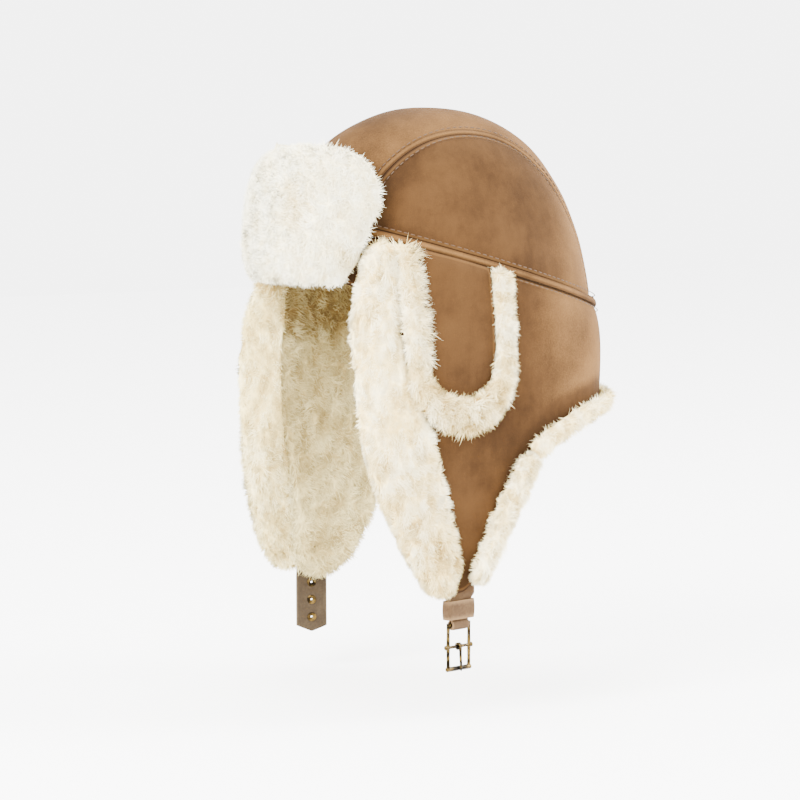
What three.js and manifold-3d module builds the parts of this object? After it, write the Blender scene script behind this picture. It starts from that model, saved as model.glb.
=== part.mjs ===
// A sheepskin aviator hat, suede outside and fleece inside, held as a head holds it.
// It has a three-piece crown, a panel that runs round the brow, ears and nape, a turned-up
// fleece visor, a U-shaped ear tab on each side, fleece edges, and an open chin strap.
// Millimetres. +Z is up, the wearer looks along -Y and the wearer's left is +X.
// The origin is the middle of the head opening, level with the brow.
import * as THREE from "three";
import { mergeVertices } from "three/addons/utils/BufferGeometryUtils.js";
import Module from "manifold-3d";

const wasm = await Module();
wasm.setup();

// Crown, on the outside of the suede
const crownHalfWidth = 92;
const crownHalfLength = 109;
const crownTop = 106; // above the brow
const widestDrop = 60; // how far below the brow the hat is widest
const domeFullness = 2.25; // exponent of the dome's rounded profile
const stripHalfWidth = 45; // the strip that runs from the brow over the top to the nape

// The level seam between the crown and the panel below it, in a plane that tips back
const seamHeight = 11.5; // over the ear, above the brow
const seamTip = 33; // how much higher it is at the brow, and lower at the nape
const weltHeight = 4.2;
const weltProud = 0.8;

// Flaps
const flapDrop = 187; // from the brow to the tip of the suede
const flapFlare = 9; // how far the tip stands out past the crown
const flapSquareness = 2.6; // exponent of the plan at the flaps, where 2 is an ellipse

// Sheepskin
const suede = 1.6;
const gap = 0.35;
const edgeGap = 0.6; // between a fleece edge and the edge of the suede that it wraps
const crownPile = 10;
const flapPile = 13;
const flapPuff = 12; // how much deeper the fleece is in the lower rear part of a flap
const nestle = 1.2; // depth of the locks in the fleece

// Fleece edges, across the edge and out of it
const cuffWidth = 36; // on the suede, where the front cuff is widest
const cuffOverhang = 13; // past the edge of the suede, at most
const cuffRise = 11;
const cuffTop = 33; // the front cuff starts this far above the brow
const cuffTopTurn = 46;

// Visor
const visorHeight = 82;
const visorTurn = 47; // degrees of turn at its widest, each way from the front
const visorLean = 9.5; // how far its top leans back
const visorPile = 20;
const visorSag = 6; // how far its fleece hangs below the brow

// Ear tab
const tabPlace = -0.2525; // its middle along Y, as a share of crownHalfLength
const tabHalfWidth = 21.5;
const tabBottom = -64;
const tabThickness = 4.5;
const tabTrimWidth = 12.5;
const tabTrimFoot = 28; // its width at the foot, where its fleece is combed down
const tabTrimRise = 9.5;

// Chin strap
const strapWidth = 20;
const loopWidth = 14; // of the strap where it passes round the heel bar
const strapTuck = 11; // how far it is sewn in above the tip of the flap
const strapTurn = 15; // degrees that the buckle is turned away from the flap
const freeStrapTurn = 22; // degrees that the free end is turned towards the front
const freeStrapThickness = 3.2;
const freeStrapLength = 51; // below the tip of the flap
const freeStrapPoint = 4;
const holePitch = 11.3;
const holeRadius = 2;
const holeCount = 3;
const lastHole = 9.5; // from the point of the strap to the last hole
const keeperHeight = 11.5;
const keeperWall = 1.4;

// Buckle
const barRadius = 1.3;
const heelDrop = 20; // from the tip of the flap to the heel bar
const buckleHeight = 27; // between its heel bar and its end bar
const railRadius = 1.15;
const railPlay = 0.3; // between a rail and the loop of the strap, over the usual gap
const pinRadius = 0.95;
const pinShare = 0.5; // where the pin crosses, as a share of the buckle's height
const pinOverhang = 2.2;
const prongWidth = 2.4;
const prongWall = 1.0;
const prongTip = 1.6; // how far the prong reaches past the end bar

const degree = Math.PI / 180;
const dark = { suede: 0xa97b50, edge: 0x8e6540, fleece: 0xf2e9d5, brass: 0x9a8453 };
const suedeFinish = new THREE.MeshStandardMaterial({ color: dark.suede, roughness: 0.95 });
const strapFinish = new THREE.MeshStandardMaterial({ color: dark.edge, roughness: 0.9 });
const fleeceFinish = new THREE.MeshStandardMaterial({ color: dark.fleece, roughness: 1 });
const brassFinish = new THREE.MeshStandardMaterial({
  color: dark.brass,
  roughness: 0.35,
  metalness: 1,
});

// Outline of the panel below the seam, from the middle of the brow to the middle of the nape:
// turn in degrees from the front, and drop as a share of flapDrop.
const outline = [
  { turn: 0, drop: 0 },
  { turn: 18, drop: 0 },
  { turn: 33, drop: 0.0 },
  { turn: 40, drop: 0.03 },
  { turn: 42.3, drop: 0.11 },
  { turn: 43.6, drop: 0.24 },
  { turn: 45, drop: 0.41 },
  { turn: 48.5, drop: 0.54 },
  { turn: 55, drop: 0.68 },
  { turn: 63.5, drop: 0.85 },
  { turn: 71, drop: 0.965 },
  { turn: 77.5, drop: 1.0 },
  { turn: 82.5, drop: 0.955 },
  { turn: 86.5, drop: 0.85 },
  { turn: 90.5, drop: 0.705 },
  { turn: 94.5, drop: 0.59 },
  { turn: 102, drop: 0.515 },
  { turn: 116, drop: 0.455 },
  { turn: 132, drop: 0.43 },
  { turn: 148, drop: 0.418 },
  { turn: 164, drop: 0.412 },
  { turn: 180, drop: 0.41 },
];
const browCorner = 4; // places in the outline where its stretches begin and end
const cuffCorner = 4.5;
const flapTip = 11;
const notch = 15.5;

// Front cuff, from above the brow to the tip: place in the outline (before cuffCorner it runs up
// the suede), shares of cuffWidth on the suede and of cuffOverhang past its edge, and how far
// it wraps the edge.
const frontCuff = [
  { place: 3.5, back: 0.15, over: 0.1, hook: 0 },
  { place: 4, back: 0.27, over: 0.3, hook: 0 },
  { place: 4.5, back: 0.43, over: 0.6, hook: 0 },
  { place: 5, back: 0.54, over: 0.75, hook: 1 },
  { place: 5.5, back: 0.6, over: 0.75, hook: 1 },
  { place: 6, back: 0.68, over: 0.7, hook: 1 },
  { place: 6.5, back: 0.84, over: 0.7, hook: 1 },
  { place: 7, back: 0.95, over: 0.7, hook: 1 },
  { place: 8, back: 0.8, over: 0.8, hook: 1 },
  { place: 9, back: 0.66, over: 0.85, hook: 1 },
  { place: 10, back: 0.44, over: 0.95, hook: 1 },
  { place: 10.5, back: 0.34, over: 0.8, hook: 1 },
];

// Rear cuff, from behind the strap up to the notch
const rearCuff = [
  { place: 12, back: 0.14, over: 1, hook: 1 },
  { place: 13, back: 0.12, over: 1, hook: 1 },
  { place: 14, back: 0.12, over: 1, hook: 1 },
  { place: 15, back: 0.1, over: 1, hook: 1 },
];

// Nape cuff, from the notch to the middle of the nape
const napeCuff = [
  { place: 15.5, back: 0.1, over: 0.9, hook: 1 },
  { place: 17, back: 0.1, over: 0.8, hook: 1 },
  { place: 18.5, back: 0.1, over: 0.75, hook: 1 },
  { place: 20, back: 0.1, over: 0.75, hook: 1 },
];

// Outline of the visor: rise as a share of visorHeight, reach as a share of visorTurn.
const visorOutline = [
  { rise: 0, reach: 0.74 },
  { rise: 0.15, reach: 0.84 },
  { rise: 0.4, reach: 0.93 },
  { rise: 0.6, reach: 1.0 },
  { rise: 0.8, reach: 0.96 },
  { rise: 0.93, reach: 0.84 },
  { rise: 1, reach: 0.66 },
];

const mix = (from, to, share) => from + (to - from) * share;
const clamp = (value) => Math.min(1, Math.max(0, value));
const ease = (share) => clamp(share) ** 2 * (3 - 2 * clamp(share));
const power = (value, exponent) => Math.sign(value) * Math.abs(value) ** exponent;

// A value of a table at a place between its rows, on a smooth curve through them.
function readTable(table, column, place) {
  const at = Math.min(table.length - 1.000001, Math.max(0, place));
  const row = Math.floor(at);
  const t = at - row;
  const [before, start, end, after] = [row - 1, row, row + 1, row + 2].map(
    (k) => table[Math.min(table.length - 1, Math.max(0, k))][column],
  );
  const slopeIn = (end - before) / 2;
  const slopeOut = (after - start) / 2;
  const rest = start - end;
  const bend = 2 * rest + slopeIn + slopeOut;
  return start + t * (slopeIn + t * (-bend - rest - slopeIn + t * bend));
}

// The place in a table where a growing column reaches a value.
function findInTable(table, column, value) {
  let low = 0;
  let high = table.length - 1;
  for (let k = 0; k < 40; k++) {
    const middle = (low + high) / 2;
    if (readTable(table, column, middle) < value) low = middle;
    else high = middle;
  }
  return low;
}

// How much smaller the plan is at a height: a rounded dome above the widest level, 1 below it.
function planShare(z, inset) {
  const rise = clamp((z + widestDrop) / (crownTop + widestDrop - inset));
  return (1 - rise ** domeFullness) ** (1 / domeFullness);
}

const squareness = (z) => mix(flapSquareness, 2, ease((z + widestDrop) / (seamHeight + widestDrop)));
const flareAt = (z) => flapFlare * clamp((-widestDrop - z) / (flapDrop - widestDrop)) ** 1.3;

// A point of the suede's outside, or inset into it, at a turn in radians from the front.
function skinPoint(turn, z, inset) {
  const share = planShare(z, inset);
  const exponent = 2 / squareness(z);
  const x = ((crownHalfWidth - inset) * share + flareAt(z)) * power(Math.sin(turn), exponent);
  const y = -(crownHalfLength - inset) * share * power(Math.cos(turn), exponent);
  return new THREE.Vector3(x, y, z);
}

// The outward normal of the suede at a turn and height.
function skinNormal(turn, z) {
  const step = 0.01;
  const across = skinPoint(turn + step, z, 0).sub(skinPoint(turn - step, z, 0));
  const up = skinPoint(turn, z + 1, 0).sub(skinPoint(turn, z - 1, 0));
  return across.cross(up).normalize();
}

// The turn at which the left side of the suede lies at a place along Y.
function turnAtY(y, z) {
  const share = planShare(z, 0);
  const cosine = power(-y / (crownHalfLength * share), squareness(z) / 2);
  return Math.acos(Math.min(1, Math.max(-1, cosine)));
}

const seamZ = (y) => seamHeight - (seamTip * y) / crownHalfLength;

// The height of the seam at a turn and depth, found by walking to the plane.
function seamAtTurn(turn, inset) {
  let z = seamHeight;
  for (let k = 0; k < 12; k++) z = mix(z, seamZ(skinPoint(turn, z, inset).y), 0.8);
  return z;
}

// Evenly spaced places, both ends included
const steps = (from, to, count) => Array.from({ length: count + 1 }, (_, k) => mix(from, to, k / count));

// Fleece locks: a staggered pattern of rounded lumps, from -1 to 1, over two lengths in mm.
function locks(along, across, pitch) {
  const row = Math.round(across / pitch);
  const shifted = along / pitch + (row % 2) * 0.5;
  return Math.sin(Math.PI * 2 * shifted + row) * Math.cos((Math.PI * 2 * across) / (pitch * 1.37));
}

// A closed body from points and triangles of one winding, with equal points merged, flat
// triangles dropped and its faces turned outward.
function closedGeometry(points, triangles) {
  const raw = new THREE.BufferGeometry().setFromPoints(points);
  raw.setIndex(triangles);
  const merged = mergeVertices(raw, 1e-4);
  const index = merged.index.array;
  const place = merged.getAttribute("position");
  const corner = (k) => new THREE.Vector3().fromBufferAttribute(place, k);
  const kept = [];
  let volume = 0;
  for (let k = 0; k < index.length; k += 3) {
    const [a, b, c] = [index[k], index[k + 1], index[k + 2]];
    if (a === b || b === c || c === a) continue;
    kept.push(a, b, c);
    volume += corner(a).dot(corner(b).cross(corner(c)));
  }
  merged.setIndex(volume > 0 ? kept : kept.reverse());
  return merged;
}

function mirrored(geometry) {
  const copy = geometry.clone();
  copy.scale(-1, 1, 1);
  copy.setIndex(Array.from(copy.index.array).reverse());
  return copy;
}

// Joins sections, closed loops of the same number of points, into one body. Without wrap its
// two ends are closed with the triangles in cap. The second half of each loop is split along
// the other diagonal, so that two skins that lie face to face have the same facets.
function loft(sections, cap, wrap = false) {
  const count = sections[0].length;
  const triangles = [];
  const last = wrap ? sections.length : sections.length - 1;
  for (let s = 0; s < last; s++) {
    const near = s * count;
    const far = ((s + 1) % sections.length) * count;
    for (let k = 0; k < count; k++) {
      const next = (k + 1) % count;
      if (k < count / 2) triangles.push(near + k, far + k, near + next, near + next, far + k, far + next);
      else triangles.push(near + k, far + k, far + next, near + k, far + next, near + next);
    }
  }
  if (!wrap) {
    const end = (sections.length - 1) * count;
    for (const [a, b, c] of cap) triangles.push(a, b, c, end + c, end + b, end + a);
  }
  return closedGeometry(sections.flat(), triangles);
}

// The cap of a flat section, wound as its outline is
function outwardCap(flat) {
  const cap = THREE.ShapeUtils.triangulateShape(flat, []);
  const wound = THREE.ShapeUtils.area(flat) * THREE.ShapeUtils.area(cap[0].map((k) => flat[k]));
  return wound > 0 ? cap : cap.map(([a, b, c]) => [c, b, a]);
}

// The cap of a section that runs down one side and back up the other, in pairs of points.
function ladderCap(rows) {
  const cap = [];
  for (let k = 0; k < rows; k++) {
    const far = 2 * rows + 1 - k;
    cap.push([k, k + 1, far], [k + 1, far - 1, far]);
  }
  return cap;
}

// A wall between two surfaces of (column, row), as a loft of its columns. With wrap the last
// column is the first one.
function wall(outer, inner, columns, rows, wrap = false) {
  const down = steps(0, 1, rows);
  const up = [...down].reverse();
  const sections = (wrap ? columns.slice(0, -1) : columns).map((column) => [
    ...down.map((row) => outer(column, row)),
    ...up.map((row) => inner(column, row)),
  ]);
  return loft(sections, ladderCap(rows), wrap);
}

function solidOf(geometry) {
  const bare = mergeVertices(new THREE.BufferGeometry()
    .setAttribute("position", geometry.getAttribute("position"))
    .setIndex(geometry.index), 1e-4);
  const solid = new wasm.Manifold(
    new wasm.Mesh({
      numProp: 3,
      vertProperties: new Float32Array(bare.getAttribute("position").array),
      triVerts: new Uint32Array(bare.index.array),
    }),
  );
  return solid;
}

function geometryOf(solid) {
  const mesh = solid.getMesh();
  const geometry = new THREE.BufferGeometry();
  geometry.setAttribute("position", new THREE.BufferAttribute(mesh.vertProperties, 3));
  geometry.setIndex(new THREE.BufferAttribute(mesh.triVerts, 1));
  return geometry;
}

function boxSolid(width, length, height, place) {
  const box = new THREE.BoxGeometry(width, length, height).applyMatrix4(place);
  box.deleteAttribute("normal");
  box.deleteAttribute("uv");
  return solidOf(box);
}

const hat = new THREE.Group();

function add(name, geometry, material, parent = hat) {
  geometry.computeVertexNormals();
  const mesh = new THREE.Mesh(geometry, material);
  mesh.name = name;
  parent.add(mesh);
  return mesh;
}

// The same piece on the wearer's left and, mirrored, on the right
function addPair(name, geometry, material) {
  add(name + "_left", geometry, material);
  add(name + "_right", mirrored(geometry), material);
}

// Crown: one dome of suede or fleece, cut by the strip's two seams and the plane of the level seam.
const domeColumns = 30;
const domeRows = 7;
const domeFoot = 8 * degree; // the dome is made down to here, a little below the seam

function domeWall(outerInset, innerInset, relief) {
  const surface = (inset, depth) => (u, v) => {
    const turn = u * 2 * Math.PI;
    const lift = mix(90 * degree, domeFoot, v);
    const height = crownTop + widestDrop - inset;
    const z = -widestDrop + height * Math.sin(lift) ** (2 / domeFullness);
    const lumps = depth * locks(u * 2 * Math.PI * crownHalfLength, v * height * 1.6, 34);
    const point = v === 0 ? new THREE.Vector3(0, 0, z) : skinPoint(turn, z, inset);
    return point.addScaledVector(point.clone().setZ(z + widestDrop).normalize(), -lumps * Math.sign(v));
  };
  const columns = steps(0, 1, domeColumns);
  return solidOf(wall(surface(outerInset, 0), surface(innerInset, relief), columns, domeRows, true));
}

const wide = 4 * (crownHalfLength + visorPile);
const seamSlope = Math.atan(seamTip / crownHalfLength);

// Everything above the level seam, moved up by a clearance
function aboveSeam(clearance) {
  const place = new THREE.Matrix4().makeTranslation(0, 0, seamHeight + clearance);
  place.multiply(new THREE.Matrix4().makeRotationX(-seamSlope));
  place.multiply(new THREE.Matrix4().makeTranslation(0, 0, wide / 2));
  return boxSolid(wide, wide, wide, place);
}

function crownPieces() {
  const dome = domeWall(0, suede, 0).intersect(aboveSeam(gap));
  const half = stripHalfWidth - gap / 2;
  const strip = dome.intersect(boxSolid(2 * half, wide, wide, new THREE.Matrix4()));
  const sideMiddle = stripHalfWidth + gap / 2 + wide / 2;
  const side = dome.intersect(
    boxSolid(wide, wide, wide, new THREE.Matrix4().makeTranslation(sideMiddle, 0, 0)),
  );
  add("crown_strip", geometryOf(strip), suedeFinish);
  addPair("crown_side", geometryOf(side), suedeFinish);
  const lining = domeWall(suede + gap, suede + gap + crownPile, nestle);
  add("crown_fleece", geometryOf(lining.intersect(aboveSeam(-weltHeight))), fleeceFinish);
}

// Panel round the brow, ears and nape. A place runs from the middle of the brow over the
// wearer's left to the nape and back over the right, and negative places mirror it.
const lastPlace = outline.length - 1;
const panelRows = 5;
const everyPlace = steps(0, 2 * lastPlace, 4 * lastPlace);

function edgeAt(place) {
  const mirrorless = Math.abs(place);
  const at = mirrorless <= lastPlace ? mirrorless : 2 * lastPlace - mirrorless;
  const turn = readTable(outline, "turn", at) * degree;
  const flip = place < 0 || place > lastPlace;
  return { turn: flip ? -turn : turn, z: -readTable(outline, "drop", at) * flapDrop };
}

function panelPoint(place, share, inset) {
  const { turn, z } = edgeAt(place);
  const top = seamAtTurn(turn, inset) - weltHeight - gap;
  return skinPoint(turn, mix(top, z, share), inset);
}

function panelWall(places, outerInset, innerInset, relief, puff = 0) {
  const lump = (place, share) => {
    const inside = share > 0 && share < 1;
    return inside ? relief * locks(place * 14, share * flapDrop, 15) + puff * puffAt(place, share) : 0;
  };
  return wall(
    (place, share) => panelPoint(place, share, outerInset),
    (place, share) => panelPoint(place, share, innerInset + lump(place, share)),
    places,
    panelRows,
    places === everyPlace,
  );
}

// How far a flap's fleece is puffed, from 0 round its edges to 1 low at the rear
function puffAt(place, share) {
  const near = Math.min(place, 2 * lastPlace - place);
  const along = clamp((near - cuffCorner) / (notch - cuffCorner));
  return Math.sin(Math.PI * along ** 1.4) * ease(share / 0.6);
}

// The lining's edges keep this far apart, in places
const slip = 0.03;

function panelPieces() {
  add("ear_nape_panel", panelWall(everyPlace, 0, suede, 0), suedeFinish);
  const near = suede + gap;
  const brow = steps(slip - browCorner, browCorner - slip, 4 * browCorner);
  const flap = [browCorner + slip, ...everyPlace.filter((at) => at > browCorner && at <= notch)];
  const nape = everyPlace.filter((at) => at > notch && at < 2 * lastPlace - notch);
  add("brow_fleece", panelWall(brow, near, near + crownPile, nestle), fleeceFinish);
  const lining = (places, pocket) =>
    geometryOf(solidOf(panelWall(places, near, near + flapPile, nestle, flapPuff)).subtract(pocket));
  add("flap_fleece_left", lining(flap, strapPocket()), fleeceFinish);
  const right = flap.map((at) => 2 * lastPlace - at).reverse();
  add("flap_fleece_right", lining(right, strapPocket().mirror([1, 0, 0])), fleeceFinish);
  add("nape_fleece", panelWall(nape, near, near + crownPile, nestle), fleeceFinish);
}

// Moves a place on the suede by a length along the suede, in a direction that lies in it.
function slideOnSkin({ turn, z }, direction, length) {
  const step = 0.01;
  const perTurn = skinPoint(turn + step, z, 0).sub(skinPoint(turn - step, z, 0)).divideScalar(2 * step);
  const perRise = skinPoint(turn, z + 1, 0).sub(skinPoint(turn, z - 1, 0)).divideScalar(2);
  const [tt, tz, zz] = [perTurn.dot(perTurn), perTurn.dot(perRise), perRise.dot(perRise)];
  const [dt, dz] = [direction.dot(perTurn) * length, direction.dot(perRise) * length];
  const whole = tt * zz - tz * tz;
  return { turn: turn + (dt * zz - dz * tz) / whole, z: z + (dz * tt - dt * tz) / whole };
}

// A sweep along stations on the suede: a section at each, of points over the edge and out of the
// suede.
function sweepOnSkin(stations, sectionAt) {
  const at = stations.map(({ turn, z }) => skinPoint(turn, z, 0));
  const last = at.length - 1;
  const sections = stations.map((station, k) => {
    const tangent = at[Math.min(k + 1, last)].clone().sub(at[Math.max(k - 1, 0)]).normalize();
    const outward = tangent.cross(skinNormal(station.turn, station.z)).normalize();
    return sectionAt(station, k).map(({ over, out }) => {
      const { turn, z } = slideOnSkin(station, outward, over);
      return skinPoint(turn, z, -out);
    });
  });
  const flat = sectionAt(stations[1], 1).map(({ over, out }) => new THREE.Vector2(over, out));
  return loft(sections, outwardCap(flat));
}

// The section of a fleece edge. It lies on the suede, clear of the welt, and where hook is 1 it
// wraps the edge and reaches through to the lining's depth.
function edgeSection({ back, over, hook }, swell, lump, depth) {
  const base = gap + weltProud + gap;
  const rise = base + cuffRise * swell + lump;
  const lay = back * cuffWidth;
  const lip = Math.max(over * cuffOverhang * swell, 2 * edgeGap);
  return [
    { over: -lay, out: base },
    { over: -lay * 0.92, out: mix(base, rise, 0.5) },
    { over: -lay * 0.55, out: mix(base, rise, 0.92) },
    { over: 0, out: rise },
    { over: lip * 0.7, out: mix(base, rise, 0.66) },
    { over: lip, out: mix(base, -0.1 * depth, hook) },
    { over: lip * mix(0.8, 0.85, hook), out: mix(base, -0.6 * depth, hook) },
    { over: mix(lip * 0.4, edgeGap, hook), out: mix(base, -depth, hook) },
    { over: edgeGap, out: base },
    { over: -lay * 0.33, out: base },
    { over: -lay * 0.67, out: base },
  ];
}

// Swell of a fleece edge along its length: full, and rounded off at both ends
const swellAt = (share) => mix(0.5, 1, Math.sqrt(Math.sin(Math.PI * mix(0.05, 0.95, share))));

// A fleece edge from its table, mirrored after its last row if it runs on over the nape
function edgeStations(table, both) {
  const first = table[0].place;
  const end = both ? 2 * lastPlace - first : table[table.length - 1].place;
  const count = 2 * (end - first);
  return steps(first, end, count).map((place, k) => {
    const near = both ? Math.min(place, 2 * lastPlace - place) : place;
    const row = findInTable(table, "place", near);
    const [back, over, hook] = ["back", "over", "hook"].map((key) => readTable(table, key, row));
    return { back, over, hook: clamp(hook), share: k / count, ...cuffRoute(place) };
  });
}

function cuffRoute(place) {
  if (place >= cuffCorner) return edgeAt(place);
  const corner = edgeAt(cuffCorner);
  const share = (cuffCorner - place) / (cuffCorner - frontCuff[0].place);
  return { turn: mix(corner.turn, cuffTopTurn * degree, share), z: mix(corner.z, cuffTop, share) };
}

function edgePiece(table, depth, both = false) {
  const stations = edgeStations(table, both);
  return sweepOnSkin(stations, (station, k) =>
    edgeSection(station, swellAt(station.share), nestle * ((k % 3) - 1), depth),
  );
}

function edgePieces() {
  const depth = suede + gap + flapPile;
  const turned = (geometry) => geometryOf(solidOf(geometry).subtract(strapPocket()));
  addPair("front_cuff", turned(edgePiece(frontCuff, depth)), fleeceFinish);
  addPair("rear_cuff", turned(edgePiece(rearCuff, depth)), fleeceFinish);
  add("nape_cuff", edgePiece(napeCuff, suede + gap + crownPile, true), fleeceFinish);
}

// Welt: the raised fold along the level seam, all round
function welt() {
  const point = (place, share, inset) => {
    const { turn } = edgeAt(place);
    return skinPoint(turn, seamAtTurn(turn, inset) - share * weltHeight, inset);
  };
  return wall(
    (place, share) => point(place, share, -weltProud),
    (place, share) => point(place, share, suede),
    everyPlace,
    1,
    true,
  );
}

// Visor: a curved sheet that stands up from the brow, suede behind and fleece in front
function visorPoint(across, share, out) {
  const place = findInTable(visorOutline, "rise", share);
  const turn = across * visorTurn * readTable(visorOutline, "reach", place) * degree;
  const z = share * visorHeight;
  const foot = planShare(0, 0);
  const x = (crownHalfWidth * foot - visorLean * share + out) * Math.sin(turn);
  const y = -(crownHalfLength * foot - visorLean * share + out) * Math.cos(turn);
  return new THREE.Vector3(x, y, z);
}

const visorColumns = steps(-1, 1, 14);
const visorRows = 7;

function visorSkin() {
  const out = weltProud + gap;
  return wall(
    (across, share) => visorPoint(across, share, out + suede),
    (across, share) => visorPoint(across, share, out),
    visorColumns,
    visorRows,
  );
}

function visorFleece() {
  const back = weltProud + 2 * gap + suede;
  const round = (place) => Math.sqrt(1 - Math.abs(place) ** 3.2);
  return wall(
    (across, share) => {
      const inside = Math.abs(across) < 1 && share > 0 && share < 1;
      const lump = inside ? nestle * locks(across * 85, share * visorHeight, 17) : 0;
      const out = visorPile * mix(0.3, 1, round(across) * round(2 * share - 1)) + lump;
      const point = visorPoint(across, share, back + out);
      point.z -= visorSag * (1 - share) ** 6;
      return point;
    },
    (across, share) => visorPoint(across, share, back),
    visorColumns,
    visorRows,
  );
}

// Ear tab: a U of sheepskin that hangs from the level seam, with a fleece edge round it. A
// point of it is a place along Y, a height and how far it stands out of the suede.
const tabMiddle = tabPlace * crownHalfLength;
const tabPoint = (y, z, out) => skinPoint(turnAtY(y, z), z, -out);
const tabTop = (y) => seamZ(y) - weltHeight - gap;
const tabFoot = tabBottom + tabHalfWidth;

function earTab() {
  const point = (across, share, out) => {
    const y = tabMiddle + tabHalfWidth * Math.sin(across);
    const low = tabFoot - tabHalfWidth * Math.cos(across);
    return tabPoint(y, mix(tabTop(y), low, share), out);
  };
  const pad = (across) => 2 * gap + tabThickness * mix(0.5, 1, Math.cos(across * 0.9));
  return wall(
    (across, share) => point(across, share, pad(across)),
    (across, share) => point(across, share, 2 * gap),
    steps(-90 * degree, 90 * degree, 10),
    5,
  );
}

// Its edge runs down the front leg, round the foot and up the rear leg. A place on it is a share
// of its width there, from the patch outward.
function tabTrim() {
  const inner = tabHalfWidth + gap;
  const legs = steps(0, 1, 5).slice(0, -1);
  const leg = (side) => (share) => (off) => {
    const y = tabMiddle + side * (inner + off * tabTrimWidth);
    return [y, mix(tabTop(y), tabFoot, share)];
  };
  const bend = (turn) => (off) => {
    const reach = inner + off * mix(tabTrimWidth, tabTrimFoot, Math.cos(turn) ** 2);
    return [tabMiddle + reach * Math.sin(turn), tabFoot - reach * Math.cos(turn)];
  };
  const route = [
    ...legs.map(leg(-1)),
    ...steps(-90 * degree, 90 * degree, 12).map(bend),
    ...legs.map(leg(1)).reverse(),
  ];
  const section = [
    { off: 0, rise: 0 },
    { off: 0.03, rise: 0.6 },
    { off: 0.3, rise: 0.95 },
    { off: 0.6, rise: 1 },
    { off: 0.9, rise: 0.7 },
    { off: 1, rise: 0.3 },
    { off: 0.97, rise: 0 },
  ];
  const sections = route.map((place, k) =>
    section.map(({ off, rise }) => {
      const [y, z] = place(off);
      return tabPoint(y, z, 2 * gap + rise * (tabTrimRise + nestle * ((k % 3) - 1) * 0.6));
    }),
  );
  const flat = section.map(({ off, rise }) => new THREE.Vector2(off, rise));
  return loft(sections, outwardCap(flat));
}

// Straps. Each is made flat on an upright line, with its width along Y and its face along X.
// Its sewn end lies along the flap and it twists from there to the turn of its free part.
const tip = edgeAt(flapTip);
const strapInset = suede + 4 * gap + suede;
const strapPlace = skinPoint(tip.turn, tip.z, strapInset);
const tipTurn = Math.atan2(skinNormal(tip.turn, tip.z).y, skinNormal(tip.turn, tip.z).x);
const strapTop = strapTuck - flapDrop;
const heelBar = -flapDrop - heelDrop;
const freeStrapEnd = -flapDrop - freeStrapLength;

// The room for the strap's sewn end, open towards the suede
function strapPocket() {
  const depth = 2 * (suede + gap);
  const middle = strapTop + gap - wide / 2;
  const place = new THREE.Matrix4().makeTranslation(strapPlace.x, strapPlace.y, middle);
  place.multiply(new THREE.Matrix4().makeRotationZ(tipTurn));
  place.multiply(new THREE.Matrix4().makeTranslation(depth / 2, 0, 0));
  return boxSolid(2 * depth, strapWidth + 2 * gap, wide, place);
}

// Turns a point of a strap about its upright line: sewn above the level from, free below to.
function twist(point, sewn, free, from, to) {
  const turn = mix(sewn, free, ease((point.z - from) / (to - from)));
  return point.applyAxisAngle(new THREE.Vector3(0, 0, 1), turn);
}

// Extrudes an outline drawn in (x, z) along Y, with its middle on the origin.
function extrudeAlongY(shape, width, curveSegments = 10) {
  const settings = { depth: width, bevelEnabled: false, curveSegments };
  const geometry = new THREE.ExtrudeGeometry(shape, settings);
  geometry.rotateX(90 * degree);
  geometry.translate(0, width / 2, 0);
  geometry.deleteAttribute("normal");
  geometry.deleteAttribute("uv");
  return mergeVertices(geometry, 1e-4);
}

// The buckle's strap: two layers that narrow inside the keeper and part to pass round the heel bar
function buckleStrap() {
  const half = suede;
  const loop = barRadius + gap + suede;
  const meet = Math.asin(half / loop);
  const free = steps(-flapDrop, keeperTop, 3);
  const levels = [strapTop, ...free, keeperFoot, heelBar + loop * Math.cos(meet)];
  const shape = new THREE.Shape();
  shape.moveTo(-half, strapTop);
  for (const z of levels.slice(1)) shape.lineTo(-half, z);
  shape.absarc(0, heelBar, loop, 90 * degree + meet, 450 * degree - meet, false);
  for (const z of levels.reverse().slice(1)) shape.lineTo(half, z);
  shape.closePath();
  const bore = new THREE.Path();
  bore.absarc(0, heelBar, barRadius + gap, 0, 2 * Math.PI, true);
  shape.holes.push(bore);
  const strap = extrudeAlongY(shape, strapWidth, 12);
  const place = strap.getAttribute("position");
  const point = new THREE.Vector3();
  for (let k = 0; k < place.count; k++) {
    point.fromBufferAttribute(place, k);
    const narrow = clamp((keeperTop - point.z) / (keeperTop - keeperFoot));
    point.y *= mix(1, loopWidth / strapWidth, narrow);
    place.setXYZ(k, ...twist(point, tipTurn - strapTurn * degree, 0, -flapDrop, keeperTop));
  }
  return strap;
}

const keeperFoot = heelBar + barRadius + gap + suede + gap;
const keeperTop = Math.min(keeperFoot + keeperHeight, -flapDrop - gap);

function keeper() {
  const inner = { width: strapWidth / 2 + gap, depth: suede + gap };
  const rectangle = (path, width, depth) => {
    path.moveTo(-depth, -width);
    path.lineTo(depth, -width);
    path.lineTo(depth, width);
    path.lineTo(-depth, width);
    path.closePath();
    return path;
  };
  const shape = rectangle(new THREE.Shape(), inner.width + keeperWall, inner.depth + keeperWall);
  shape.holes.push(rectangle(new THREE.Path(), inner.width, inner.depth));
  const height = keeperTop - keeperFoot;
  const geometry = new THREE.ExtrudeGeometry(shape, { depth: height, bevelEnabled: false });
  geometry.translate(0, 0, keeperFoot);
  geometry.deleteAttribute("normal");
  geometry.deleteAttribute("uv");
  return mergeVertices(geometry, 1e-4);
}

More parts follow.
